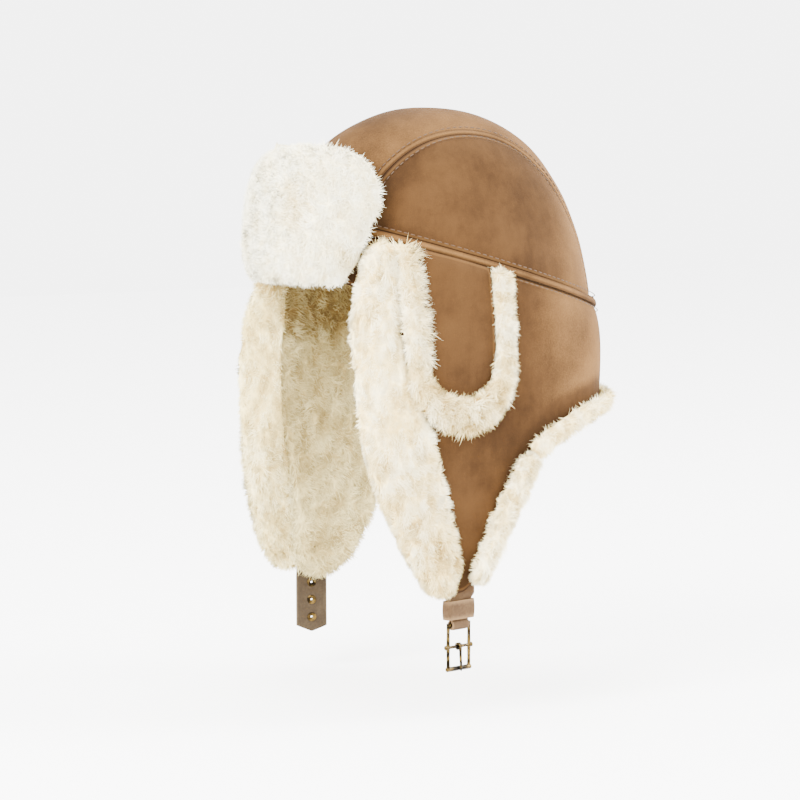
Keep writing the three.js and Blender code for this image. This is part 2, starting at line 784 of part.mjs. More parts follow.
function cylinderAlongY(radius, length, x, z) {
  const geometry = new THREE.CylinderGeometry(radius, radius, length, 8);
  geometry.translate(x, 0, z);
  geometry.deleteAttribute("normal");
  geometry.deleteAttribute("uv");
  return solidOf(mergeVertices(geometry, 1e-4));
}

// Buckle frame: two rails, a heel bar, an end bar and the pin that carries the prong
const railMiddle = loopWidth / 2 + gap + railPlay + railRadius;
const endBar = heelBar - buckleHeight;
const pinZ = mix(heelBar, endBar, pinShare);

function buckleFrame() {
  const length = buckleHeight + 2 * railRadius;
  let frame = cylinderAlongY(barRadius, 2 * railMiddle, 0, heelBar);
  frame = frame.add(cylinderAlongY(barRadius * 1.15, 2 * (railMiddle + railRadius) + 1, 0, endBar));
  frame = frame.add(cylinderAlongY(pinRadius, 2 * (railMiddle + pinOverhang), 0, pinZ));
  for (const side of [-1, 1]) {
    const rail = new THREE.CylinderGeometry(railRadius, railRadius, length, 8);
    rail.rotateX(90 * degree);
    rail.translate(0, side * railMiddle, (heelBar + endBar) / 2);
    rail.deleteAttribute("normal");
    rail.deleteAttribute("uv");
    frame = frame.add(solidOf(mergeVertices(rail, 1e-4)));
    const knob = new THREE.SphereGeometry(pinRadius * 1.5, 8, 5);
    knob.translate(0, side * (railMiddle + pinOverhang), pinZ);
    knob.deleteAttribute("normal");
    knob.deleteAttribute("uv");
    frame = frame.add(solidOf(mergeVertices(knob, 1e-4)));
  }
  return geometryOf(frame);
}

// Prong: an eye round the pin and a shank whose tip rests on the outside of the end bar
function buckleProng() {
  const eye = pinRadius + gap + prongWall;
  const rest = barRadius * 1.15 + gap;
  const tipZ = endBar - prongTip;
  const shape = new THREE.Shape();
  shape.moveTo(-eye * 0.2, pinZ + eye * 0.98);
  shape.absarc(0, pinZ, eye, 100 * degree, 265 * degree, false);
  shape.lineTo(rest, endBar + 2);
  shape.lineTo(rest, tipZ);
  shape.lineTo(rest + prongWall, tipZ);
  shape.lineTo(rest + prongWall * 1.4, endBar + 2);
  shape.lineTo(eye * 0.99, pinZ - eye * 0.1);
  shape.absarc(0, pinZ, eye, -5 * degree, 98 * degree, false);
  const bore = new THREE.Path();
  bore.absarc(0, pinZ, pinRadius + gap, 0, 2 * Math.PI, true);
  shape.holes.push(bore);
  return extrudeAlongY(shape, prongWidth, 8);
}

// The free end: a flat strap with a blunt point and a row of holes
function freeStrap() {
  const level = -flapDrop - freeStrapLength / 3;
  const turned = (point) => twist(point, -tipTurn, -freeStrapTurn * degree, -flapDrop, level);
  const face = (side) => (across, share) => {
    const low = freeStrapEnd + freeStrapPoint * Math.abs(across);
    const y = (across * strapWidth) / 2;
    return turned(new THREE.Vector3((side * freeStrapThickness) / 2, y, mix(strapTop, low, share)));
  };
  let strap = solidOf(wall(face(1), face(-1), steps(-1, 1, 4), 8));
  for (let k = 0; k < holeCount; k++) {
    const hole = new THREE.CylinderGeometry(holeRadius, holeRadius, 4 * freeStrapThickness, 8);
    hole.rotateZ(90 * degree);
    hole.rotateZ(-freeStrapTurn * degree);
    hole.translate(0, 0, freeStrapEnd + lastHole + k * holePitch);
    strap = strap.subtract(solidOf(hole));
  }
  return geometryOf(strap);
}

crownPieces();
panelPieces();
edgePieces();
add("seam_welt", welt(), suedeFinish);
add("visor_skin", visorSkin(), suedeFinish);
add("visor_fleece", visorFleece(), fleeceFinish);
addPair("ear_tab", earTab(), suedeFinish);
addPair("ear_tab_trim", tabTrim(), fleeceFinish);

const buckleSide = new THREE.Group();
buckleSide.position.copy(strapPlace).setZ(0);
buckleSide.rotation.z = strapTurn * degree;
const freeSide = new THREE.Group();
freeSide.position.set(-strapPlace.x, strapPlace.y, 0);
hat.add(buckleSide, freeSide);
add("buckle_strap", buckleStrap(), strapFinish, buckleSide);
add("strap_keeper", keeper(), strapFinish, buckleSide);
add("buckle_frame", buckleFrame(), brassFinish, buckleSide);
add("buckle_prong", buckleProng(), brassFinish, buckleSide);
add("free_strap", freeStrap(), strapFinish, freeSide);

export default hat;
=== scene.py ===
import math

import bpy
import numpy as np
from mathutils import Matrix, Vector


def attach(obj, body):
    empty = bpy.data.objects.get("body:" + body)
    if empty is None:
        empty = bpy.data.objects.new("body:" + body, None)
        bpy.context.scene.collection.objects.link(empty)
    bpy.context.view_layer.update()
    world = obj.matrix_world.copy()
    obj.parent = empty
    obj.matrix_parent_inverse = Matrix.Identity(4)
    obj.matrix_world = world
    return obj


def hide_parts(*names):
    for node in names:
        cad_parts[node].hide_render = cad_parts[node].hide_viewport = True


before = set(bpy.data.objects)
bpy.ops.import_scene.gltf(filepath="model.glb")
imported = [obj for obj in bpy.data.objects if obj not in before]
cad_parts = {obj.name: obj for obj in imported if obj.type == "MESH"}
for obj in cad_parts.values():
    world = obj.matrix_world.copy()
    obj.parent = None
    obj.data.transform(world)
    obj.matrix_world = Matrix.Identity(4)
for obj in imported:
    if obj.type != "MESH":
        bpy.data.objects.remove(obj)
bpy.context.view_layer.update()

print("frame loaded:", len(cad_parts), "nodes")

# The hat's own sizes, in millimetres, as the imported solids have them
hat = dict(halfWidth=92, halfLength=109, top=106, widestDrop=60, fullness=2.25, stripHalf=45,
           seamHeight=11.5, seamTip=33, weltHeight=4.2, weltProud=0.8, flapDrop=187, flare=9,
           square=2.6, suede=1.6, gap=0.35, crownPile=10, flapPile=13, slack=5, slackDrop=78,
           slackReach=38)
domeHeight = hat["top"] + hat["widestDrop"]

# The panel's lower outline from the middle of the brow to the middle of the nape:
# turn in degrees from the front, and drop as a share of flapDrop
outlineTurn = np.array([0, 18, 33, 40, 42.3, 43.6, 45, 48.5, 55, 63.5, 71, 77.5, 82.5, 86.5, 90.5,
                        94.5, 102, 116, 132, 148, 164, 180.0])
outlineDrop = np.array([0, 0, 0, 0.03, 0.11, 0.24, 0.41, 0.54, 0.68, 0.85, 0.965, 1, 0.955, 0.85,
                        0.705, 0.59, 0.515, 0.455, 0.43, 0.418, 0.412, 0.41])
lastPlace = len(outlineTurn) - 1
mm = 0.001
farFromSeam = 99.0


def ease(share):
    share = np.clip(share, 0, 1)
    return share * share * (3 - 2 * share)


def mix(a, b, share):
    return a + (b - a) * share


def power(value, exponent):
    return np.sign(value) * np.abs(value) ** exponent


def unit(v):
    return v / np.maximum(np.linalg.norm(v, axis=-1, keepdims=True), 1e-12)


def lengthAlong(line):
    return np.append(0, np.cumsum(np.linalg.norm(np.diff(line, axis=0), axis=1)))


def readTable(values, place):
    # a smooth curve through the rows: each stretch is a cubic whose slopes are half the
    # difference of its neighbours
    at = np.clip(place, 0, len(values) - 1.000001)
    row = np.floor(at).astype(int)
    t = at - row
    pick = lambda k: values[np.clip(row + k, 0, len(values) - 1)]
    before, start, end, after = pick(-1), pick(0), pick(1), pick(2)
    slopeIn, slopeOut, rest = (end - before) / 2, (after - start) / 2, start - end
    return start + t * (slopeIn + t * (-3 * rest - 2 * slopeIn - slopeOut
                                       + t * (2 * rest + slopeIn + slopeOut)))


def ripple(points, size, seed, waves=10):
    # a soft random field from about -1 to 1: the sum of sines along random directions, whose
    # lengths are about the size given in millimetres
    rng = np.random.default_rng(seed)
    way = unit(rng.normal(size=(waves, 3))) * (2 * math.pi / size) * rng.uniform(0.6, 1.5, (waves, 1))
    return np.sin(points @ way.T + rng.uniform(0, 2 * math.pi, waves)).sum(-1) * (1.6 / waves)


def gridNormals(points, toward, wrapRows=False, wrapColumns=False):
    # the cross product of the differences along both parameters, on the side of toward
    def along(axis, wrap):
        if wrap:
            return np.roll(points, -1, axis) - np.roll(points, 1, axis)
        return np.gradient(points, axis=axis)

    normal = unit(np.cross(along(0, wrapRows), along(1, wrapColumns)))
    return normal * np.sign(np.sum(normal * toward, axis=-1).mean())


def turnOutward(points, faces):
    # the sum of the signed volumes under the faces says whether they point outward
    volume = 0
    for group in faces:
        for k in range(1, group.shape[1] - 1):
            a, b, c = points[group[:, 0]], points[group[:, k]], points[group[:, k + 1]]
            volume += np.sum(a * np.cross(b, c))
    return [group[:, ::-1] for group in faces] if volume < 0 else faces


def makeMesh(name, points, faces, attributes=None, sharp=50, normals=None):
    # faces is one array of quads or triangles, or a list of such arrays; points are millimetres.
    # Where normals are given, a zero one leaves the mesh's own.
    faces = faces if isinstance(faces, list) else [faces]
    points = np.asarray(points, float).reshape(-1, 3)
    faces = turnOutward(points, faces)
    sizes = np.concatenate([np.full(len(group), group.shape[1]) for group in faces])
    loops = np.concatenate([group.reshape(-1) for group in faces])
    mesh = bpy.data.meshes.new(name)
    mesh.vertices.add(len(points))
    mesh.vertices.foreach_set("co", (points * mm).astype(np.float32).reshape(-1))
    mesh.loops.add(len(loops))
    mesh.loops.foreach_set("vertex_index", loops.astype(np.int32))
    mesh.polygons.add(len(sizes))
    starts = np.concatenate([[0], np.cumsum(sizes)[:-1]])
    mesh.polygons.foreach_set("loop_start", starts.astype(np.int32))
    mesh.polygons.foreach_set("loop_total", sizes.astype(np.int32))
    mesh.polygons.foreach_set("use_smooth", np.ones(len(sizes), bool))
    for key, value in (attributes or {}).items():
        mesh.attributes.new(key, "FLOAT", "POINT").data.foreach_set(
            "value", np.asarray(value, np.float32).reshape(-1))
    mesh.update(calc_edges=True)
    if sharp:
        mesh.set_sharp_from_angle(angle=math.radians(sharp))
    mesh.validate()
    if normals is not None:
        mesh.normals_split_custom_set_from_vertices(normals)
    piece = bpy.data.objects.new(name, mesh)
    bpy.context.scene.collection.objects.link(piece)
    return piece


def gridFaces(rows, columns, wrapRows=False, wrapColumns=False):
    i = np.arange(rows if wrapRows else rows - 1)[:, None]
    j = np.arange(columns if wrapColumns else columns - 1)[None, :]
    iNext, jNext = (i + 1) % rows, (j + 1) % columns
    quads = np.stack([i * columns + j, iNext * columns + j, iNext * columns + jNext,
                      i * columns + jNext], -1)
    return quads.reshape(-1, 4)


def shellFaces(rows, columns, wrap=False):
    # a closed wall: two grids of the same size, joined round their edges
    count = rows * columns
    skin = gridFaces(rows, columns, wrap)
    index = np.arange(count).reshape(rows, columns)
    if wrap:
        loops = [np.append(index[:, 0], index[0, 0])[::-1], np.append(index[:, -1], index[0, -1])]
    else:
        loops = [np.concatenate([index[0], index[1:, -1], index[-1, ::-1][1:], index[::-1, 0][1:]])]
    rim = [np.stack([loop[:-1], loop[1:], loop[1:] + count, loop[:-1] + count], -1) for loop in loops]
    return np.concatenate([skin, skin[:, ::-1] + count] + rim)


def shell(name, outer, inner, wrap=False, attributes=None, sharp=50):
    doubled = {key: np.concatenate([value.reshape(-1)] * 2) for key, value in (attributes or {}).items()}
    return makeMesh(name, np.concatenate([outer.reshape(-1, 3), inner.reshape(-1, 3)]),
                    shellFaces(*outer.shape[:2], wrap), doubled, sharp)


def tubeBody(rings):
    # points and faces of a closed tube: a grid of rings, and a middle point that closes each end
    rows, columns = rings.shape[:2]
    k = np.arange(columns)
    after, last, middle = (k + 1) % columns, (rows - 1) * columns, np.full(columns, rows * columns)
    caps = [np.stack([k, after, middle], -1), np.stack([after + last, k + last, middle + 1], -1)]
    return (np.concatenate([rings.reshape(-1, 3), rings[[0, -1]].mean(1)]),
            [gridFaces(rows, columns, False, True), np.concatenate(caps)])


def closedTube(name, rings, wear=None, sharp=40):
    points, faces = tubeBody(rings)
    attributes = {} if wear is None else {"wear": np.append(wear, [0.5, 0.5])}
    return makeMesh(name, points, faces, attributes, sharp)


def roundTube(name, path, radius, sides=16):
    # a tube of round section: its two cross directions are carried along the path
    ahead = unit(np.gradient(path, axis=0))
    helper = np.array([0, 0, 1.0]) if abs(ahead[:, 2]).mean() < 0.8 else np.array([1.0, 0, 0])
    side = unit(np.cross(ahead, helper))
    up = np.cross(side, ahead)
    turn = (np.arange(sides) * 2 * math.pi / sides)[None, :, None]
    out = side[:, None] * np.cos(turn) + up[:, None] * np.sin(turn)
    return closedTube(name, path[:, None] + out * np.reshape(radius, (-1, 1, 1)), sharp=60)


def joinPieces(name, pieces):
    # one mesh from several, kept closed each for itself
    bpy.ops.object.select_all(action="DESELECT")
    for piece in pieces:
        piece.select_set(True)
    bpy.context.view_layer.objects.active = pieces[0]
    bpy.ops.object.join()
    pieces[0].name = name
    pieces[0].data.name = name
    return pieces[0]


def finishPiece(piece, material, body="hat", replaces=True):
    # crownSideLeft replaces crown_side_left, and so do the other pieces that stand for a solid
    piece.data.materials.clear()
    piece.data.materials.append(material)
    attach(piece, body)
    if replaces:
        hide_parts("".join("_" + c.lower() if c.isupper() else c for c in piece.name))
    return piece


def planShare(z, inset=0.0):
    rise = np.clip((z + hat["widestDrop"]) / (domeHeight - inset), 0, 1)
    return (1 - rise ** hat["fullness"]) ** (1 / hat["fullness"])


def squareAt(z):
    # the plan's exponent: 2, a plain ellipse, from the level seam up, and more below
    return mix(hat["square"], 2, ease((z + hat["widestDrop"]) / (hat["seamHeight"] + hat["widestDrop"])))


def skin(turn, z, inset=0.0):
    # the suede's outside: an ellipse at each height, squarer and wider towards the flaps' tips,
    # and a little slack at the nape
    z = np.asarray(z, float)
    share, square = planShare(z, inset), squareAt(z)
    below = np.clip((-hat["widestDrop"] - z) / (hat["flapDrop"] - hat["widestDrop"]), 0, None)
    flare = hat["flare"] * below ** 1.3
    x = ((hat["halfWidth"] - inset) * share + flare) * power(np.sin(turn), 2 / square)
    y = -(hat["halfLength"] - inset) * share * power(np.cos(turn), 2 / square)
    level = np.exp(-((z + hat["slackDrop"]) / hat["slackReach"]) ** 2)
    slack = hat["slack"] * level * np.clip(-np.cos(turn), 0, 1) ** 2
    return np.stack(np.broadcast_arrays(x, y - slack, z), -1)


def skinSlopes(turn, z):
    # how the skin's points move per radian and per millimetre of height
    return ((skin(turn + 0.01, z) - skin(turn - 0.01, z)) / 0.02,
            (skin(turn, z + 1) - skin(turn, z - 1)) / 2)


def skinNormal(turn, z):
    return unit(np.cross(*skinSlopes(turn, z)))


def seamZ(y):
    return hat["seamHeight"] - hat["seamTip"] * y / hat["halfLength"]


def seamAtTurn(turn, inset=0.0):
    z = np.zeros_like(np.asarray(turn, float)) + hat["seamHeight"]
    for _ in range(12):
        z = mix(z, seamZ(skin(turn, z, inset)[..., 1]), 0.8)
    return z


def edgeAt(place):
    # places run from the middle of the brow over the left to the nape and back over the right
    place = np.asarray(place, float)
    at = np.where(np.abs(place) <= lastPlace, np.abs(place), 2 * lastPlace - np.abs(place))
    turn = np.radians(readTable(outlineTurn, at))
    flip = (place < 0) | (place > lastPlace)
    return np.where(flip, -turn, turn), -readTable(outlineDrop, at) * hat["flapDrop"]


def turnAtY(y, z):
    share = -y / (hat["halfLength"] * planShare(z))
    return np.arccos(np.clip(power(share, squareAt(z) / 2), -1, 1))


def slideOnSkin(turn, z, direction, length):
    # the steps in turn and height that carry a point over the skin by a length in a direction
    perTurn, perRise = skinSlopes(turn, z)
    dot = lambda a, b: np.sum(a * b, axis=-1)
    tt, tz, zz = dot(perTurn, perTurn), dot(perTurn, perRise), dot(perRise, perRise)
    dt, dz = dot(direction, perTurn) * length, dot(direction, perRise) * length
    whole = tt * zz - tz * tz
    return turn + (dt * zz - dz * tz) / whole, z + (dz * tt - dt * tz) / whole


def onDome(direction, inset=0.0):
    # a point of the crown along a direction from the middle of its widest level: lengths are
    # scaled until the dome's formula gives 1
    n = hat["fullness"]
    height = domeHeight - inset
    plan = np.sqrt((direction[..., 0] / (hat["halfWidth"] - inset)) ** 2
                   + (direction[..., 1] / (hat["halfLength"] - inset)) ** 2)
    size = (plan ** n + np.abs(direction[..., 2] / height) ** n) ** (1 / n)
    point = direction / size[..., None]
    point[..., 2] -= hat["widestDrop"]
    return point


domeMiddle = np.array([0, 0, -float(hat["widestDrop"])])


class Socket:
    # wraps a node's output, so that sums and products of it add Math nodes

    def __init__(self, shader, output):
        self.shader = shader
        self.output = output

    def math(self, operation, *values):
        return self.shader.add("ShaderNodeMath", {"operation": operation}, *values)

    def size(self):
        return self.math("ABSOLUTE", self)

    def __add__(self, other):
        return self.math("ADD", self, other)

    def __radd__(self, other):
        return self.math("ADD", other, self)

    def __sub__(self, other):
        return self.math("SUBTRACT", self, other)

    def __rsub__(self, other):
        return self.math("SUBTRACT", other, self)

    def __mul__(self, other):
        return self.math("MULTIPLY", self, other)


class Shader:
    # a material whose nodes are added by the calls below

    def __init__(self, name, **constants):
        self.material = bpy.data.materials.new(name)
        self.material.use_nodes = True
        self.nodes = self.material.node_tree.nodes
        self.links = self.material.node_tree.links
        self.surface = self.nodes["Principled BSDF"]
        for key, value in constants.items():
            self.surface.inputs[key.replace("_", " ")].default_value = value

    def add(self, kind, settings=None, *values, out=0, **named):
        node = self.nodes.new(kind)
        for key, value in (settings or {}).items():
            setattr(node, key, value)
        for key, value in enumerate(values):
            self.feed(node.inputs[key], value)
        for key, value in named.items():
            self.feed(node.inputs[key.replace("_", " ")], value)
        return Socket(self, node.outputs[out])

    def feed(self, target, value):
        if isinstance(value, Socket):
            self.links.new(value.output, target)
        else:
            target.default_value = value

    def place(self):
        return self.add("ShaderNodeTexCoord", None, out="Object")

    def attribute(self, name):
        return self.add("ShaderNodeAttribute", {"attribute_name": name}, out="Fac")

    def noise(self, scale, detail=4.0, roughness=0.55, vector=None):
        return self.add("ShaderNodeTexNoise", None, out="Fac", Vector=vector or self.place(),
                        Scale=scale, Detail=detail, Roughness=roughness)

    def blend(self, share, first, second):
        # a mix of two colours
        node = self.nodes.new("ShaderNodeMix")
        node.data_type = "RGBA"
        self.feed(node.inputs[0], share)
        self.feed(node.inputs[6], first)
        self.feed(node.inputs[7], second)
        return Socket(self, node.outputs[2])

    def ramp(self, share, low, high):
        # a smooth step from 0 at low to 1 at high
        return self.add("ShaderNodeMapRange", {"interpolation_type": "SMOOTHSTEP"},
                        share, low, high, 0.0, 1.0)

    def bump(self, height, strength, distance):
        return self.add("ShaderNodeBump", None, Strength=strength, Distance=distance,
                        Height=height, out="Normal")

    def set(self, **inputs):
        for key, value in inputs.items():
            self.feed(self.surface.inputs[key.replace("_", " ")], value)
        return self.material


def suedeMaterial(name, dark, middle, light):
    # edge is the distance to the nearest seam and topstitch that to a stitched seam, in mm
    s = Shader(name, Sheen_Weight=0.08, Sheen_Roughness=0.5, Sheen_Tint=(0.5, 0.3, 0.15, 1),
               Specular_IOR_Level=0.04)
    patches = s.noise(13.0, 4.0, 0.6)
    cloudy = s.noise(62.0, 4.0, 0.65)
    nap = s.noise(1100.0, 3.0, 0.7)
    leaning = s.add("ShaderNodeMapping", None, s.place(), (0, 0, 0), (0, 0.4, 0), (1.0, 1.0, 0.2))
    brushed = s.noise(260.0, 3.0, 0.6, leaning)
    edge, topstitch = s.attribute("edge"), s.attribute("topstitch")
    seam = 1 - s.ramp(edge, 0.2, 1.3)
    thread = 1 - s.ramp((topstitch - 3.1).size(), 0.25, 0.8)
    ridge = s.ramp(edge, 0.6, 1.5) * (1 - s.ramp(edge, 2.0, 3.0))
    # painted light and painted shade: the suede is lighter where this attribute is high and darker where
    # it is low
    wear = s.attribute("wear")
    tone = patches * 0.75 + cloudy * 0.32 + brushed * 0.12 + nap * 0.14 + wear * 0.22
    colour = s.blend(s.ramp(tone, 0.48, 0.82), dark, middle)
    colour = s.blend(s.ramp(wear + patches * 0.9 + (nap - 0.5) * 0.4, 0.55, 1.25), colour, light)
    # painted highlight: a light band along the ridge beside each seam
    colour = s.blend(ridge * 0.22, colour, light)
    colour = s.blend(seam * 0.65 + thread * 0.35, colour, (0.012, 0.0055, 0.0025, 1))
    height = nap * 0.5 + brushed * 0.35 + cloudy * 0.7 + ridge * 0.5 - seam * 1.4 - thread * 0.7
    return s.set(Base_Color=colour, Roughness=0.88 + (nap - 0.5) * 0.12,
                 Normal=s.bump(height, 0.45, 0.0006))


def fleeceMaterial(name, root, body, tip):
    # reach runs from 0 at a fibre's root to 1 at its tip, and tone from crevice to crest. Roots and
    # crevices are darker, partly the wool's own colour and partly painted shade deep in the pile.
    s = Shader(name, Specular_IOR_Level=0.04)
    reach, tone = s.attribute("reach"), s.attribute("tone")
    patches = s.noise(42.0, 3.0, 0.6)
    curl = s.noise(520.0, 3.0, 0.65)
    colour = s.blend(s.ramp(reach * 0.45 + tone * 0.8 + (curl - 0.5) * 0.3, 0.1, 0.8), root, body)
    colour = s.blend(s.ramp(reach * 0.4 + tone * 0.65 + (patches - 0.5) * 0.8, 0.35, 0.95), colour, tip)
    return s.set(Base_Color=colour, Roughness=0.95, Normal=s.bump(curl, 0.35, 0.001))


def strapMaterial(name, dark, middle, light):
    s = Shader(name, Specular_IOR_Level=0.08)
    grain = s.noise(620.0, 5.0, 0.7)
    patches = s.noise(60.0, 4.0, 0.6)
    colour = s.blend(s.ramp(patches * 0.6 + grain * 0.4, 0.35, 0.68), dark, middle)
    colour = s.blend(s.ramp(s.attribute("wear") + (grain - 0.5) * 0.6, 0.2, 1.0), colour, light)
    return s.set(Base_Color=colour, Roughness=0.78 + (grain - 0.5) * 0.2,
                 Normal=s.bump(grain, 0.4, 0.0005))


def brassMaterial():
    s = Shader("antiqueBrass", Metallic=1.0)
    patina = s.noise(190.0, 5.0, 0.65)
    colour = s.blend(s.ramp(patina, 0.44, 0.66), (0.005, 0.0035, 0.002, 1), (0.1, 0.062, 0.018, 1))
    return s.set(Base_Color=colour, Roughness=0.22 + patina * 0.3, Normal=s.bump(patina, 0.12, 0.0003))


def threadMaterial():
    s = Shader("thread", Specular_IOR_Level=0.3)
    twist = s.noise(1400.0, 2.0, 0.5)
    colour = s.blend(twist, (0.03, 0.015, 0.006, 1), (0.055, 0.028, 0.011, 1))
    return s.set(Base_Color=colour, Roughness=0.7)


# the dark, middle and light colours of each, as linear red, green, blue and 1
suedeFinish = suedeMaterial("suede", (0.019, 0.0086, 0.0029, 1), (0.042, 0.0195, 0.0064, 1),
                            (0.125, 0.063, 0.0205, 1))
whiteFleece = fleeceMaterial("visorFleece", (0.62, 0.50, 0.25, 1), (0.88, 0.79, 0.50, 1),
                             (0.97, 0.93, 0.74, 1))
creamFleece = fleeceMaterial("creamFleece", (0.25, 0.145, 0.036, 1), (0.78, 0.59, 0.23, 1),
                             (0.97, 0.89, 0.60, 1))
# painted shade: a darker copy of the cream fleece, for the far cuff
farFleece = fleeceMaterial("farFleece", (0.26, 0.17, 0.05, 1), (0.68, 0.54, 0.22, 1),
                           (0.92, 0.82, 0.48, 1))
# painted shade: a darker copy of the fleece, for the inside of the hat
liningFleece = fleeceMaterial("liningFleece", (0.13, 0.08, 0.024, 1), (0.44, 0.34, 0.135, 1),
                              (0.70, 0.59, 0.29, 1))
strapFinish = strapMaterial("strapLeather", (0.038, 0.02, 0.009, 1), (0.068, 0.039, 0.0175, 1),
                            (0.12, 0.072, 0.034, 1))
freeStrapFinish = strapMaterial("freeStrapLeather", (0.024, 0.016, 0.009, 1), (0.042, 0.029, 0.016, 1),
                                (0.1, 0.072, 0.043, 1))
brassFinish = brassMaterial()
threadFinish = threadMaterial()
print("materials made")


def growPile(grid, normals, tone, weight, lengths, pile, wrap):
    # Tapered fibres on a grid of points. A root is a random point of a cell, chosen by area and
    # weight. At a share t of its length L a fibre is at
    # root + normal * L * (t - bend * t^2) + lean * L * t^2 + pull to its lock's middle * t + curl * t
    rng = np.random.default_rng(pile["seed"])
    count, columns = pile["count"], grid.shape[1]
    follow = np.roll(grid, -1, 1) if wrap else grid[:, 1:]
    near = grid if wrap else grid[:, :-1]
    a, b, d = near[:-1], near[1:], follow[:-1]
    area = np.linalg.norm(np.cross(b - a, d - a), axis=-1) * weight[:a.shape[0], :a.shape[1]]
    i, j = np.unravel_index(rng.choice(area.size, count, p=(area / area.sum()).reshape(-1)), area.shape)
    u, v = rng.random((2, count, 1))
    nextJ = (j + 1) % columns

    def between(values):
        return ((1 - u) * (1 - v) * values[i, j] + u * (1 - v) * values[i + 1, j]
                + u * v * values[i + 1, nextJ] + (1 - u) * v * values[i, nextJ])

    root, normal = between(grid), unit(between(normals))
    # locks: roots that fall in the same cell of a warped lattice
    warp = np.stack([ripple(root, pile["lock"] * 3, pile["seed"] + k) for k in (11, 12, 13)], -1)
    lattice = pile["lock"] * np.array([1, 1, pile["stretch"]])
    cell = np.floor((root + warp * pile["lock"] * 0.8) / lattice)
    key = cell.astype(np.int64) @ np.array([73856093, 19349663, 83492791])
    _, lock = np.unique(key, return_inverse=True)
    size = np.bincount(lock)
    middle = np.stack([np.bincount(lock, root[:, k]) / size for k in range(3)], -1)[lock]
    perLock = np.random.default_rng(pile["seed"] + 5)
    lockLean = perLock.normal(size=(len(size), 3))[lock]
    lockLength = perLock.uniform(0.85, 1.15, (len(size), 1))[lock]
    lockTurn = perLock.uniform(0, 2 * math.pi, (len(size), 1))[lock]
    lockTone = perLock.random(len(size))[lock]

    def tangential(vector):
        return vector - normal * np.sum(vector * normal, axis=-1, keepdims=True)

    length = (pile["length"] * lockLength * rng.uniform(0.7, 1.2, (count, 1))
              * between(lengths[..., None]))
    stray = lockLean * pile["stray"] + rng.normal(size=(count, 3)) * pile["fuzz"]
    lean = tangential(np.array(pile["flow"]) + stray)
    pull = tangential(middle - root) * pile["clump"]
    sideways = unit(np.cross(normal, np.array([0.31, 0.52, 0.79])))
    ahead = np.cross(normal, sideways)
    rings = pile["rings"]
    levels = np.linspace(0, 1, rings + 1)
    widths = pile["radius"] * rng.uniform(0.75, 1.25, (count, 1))
    points, shading = np.empty((2, count, 3 * rings + 1, 3))
    for k, t in enumerate(levels):
        turn = lockTurn + pile["turns"] * 2 * math.pi * t + rng.normal(size=(count, 1)) * 0.3
        swirl = pile["curl"] * t * (sideways * np.cos(turn) + ahead * np.sin(turn))
        spine = (root - normal * pile["sunk"] + normal * length * (t - pile["bend"] * t * t)
                 + lean * length * t * t + pull * t + swirl)
        for side in range(3 if k < rings else 1):
            angle = side * 2 * math.pi / 3
            out = sideways * math.cos(angle) + ahead * math.sin(angle)
            radius = widths * (1 - 0.45 * t) if k < rings else 0
            points[:, 3 * k + side] = spine + out * radius
            shading[:, 3 * k + side] = normal + (out * pile["relief"] if k < rings else 0)
    local = [[0, 1, 2]]
    for k in range(0, 3 * rings - 3, 3):
        for side in range(3):
            after = (side + 1) % 3
            local += [[k + side, k + 3 + side, k + after], [k + after, k + 3 + side, k + 3 + after]]
    top = 3 * rings
    local += [[top - 3 + side, top, top - 3 + (side + 1) % 3] for side in range(3)]
    faces = (np.arange(count)[:, None, None] * (top + 1) + np.array(local)[None]).reshape(-1, 3)
    reach = np.tile(np.append(np.repeat(levels[:-1], 3), 1.0) * 0.8 + 0.2, count)
    hue = (between(tone[..., None])[:, 0] * 0.75 + (lockTone - 0.5) * 0.4 + 0.14
           + (rng.random(count) - 0.5) * 0.2)
    return points.reshape(-1, 3), faces, unit(shading.reshape(-1, 3)), reach, np.repeat(hue, top + 1)


def roundEnds(grid, length):
    # the rows near both ends of a roll shrink towards their middle, as a quarter circle does
    middle = grid.mean(1, keepdims=True)
    along = lengthAlong(middle[:, 0])
    away = np.minimum(along / length[0], (along[-1] - along) / length[1])
    size = np.sqrt(np.clip(1 - (1 - np.clip(away, 0, 1)) ** 2, 0.02, 1))
    return middle + (grid - middle) * size[:, None, None]


def pileMesh(name, points, faces, bodyTone, grown, material):
    # one mesh of a body and the fibres grown on it. The body keeps its own normals, and the
    # fibres are shaded mostly as the body under them is.
    fibres, fibreFaces, shading, reach, hue = grown
    split = []
    for group in faces:
        split += [group] if group.shape[1] == 3 else [group[:, :3], group[:, [0, 2, 3]]]
    bodyFaces = turnOutward(points, [np.concatenate(split)])[0]
    fibreFaces = turnOutward(fibres, [fibreFaces])[0]
    count = len(points)
    attributes = {"reach": np.append(np.full(count, 0.3), reach), "tone": np.append(bodyTone, hue)}
    piece = makeMesh(name, np.concatenate([points, fibres]),
                     np.concatenate([bodyFaces, fibreFaces + count]), attributes, 0,
                     np.concatenate([np.zeros((count, 3)), shading]))
    print("fleece:", name, len(piece.data.polygons), "triangles")
    return finishPiece(piece, material)


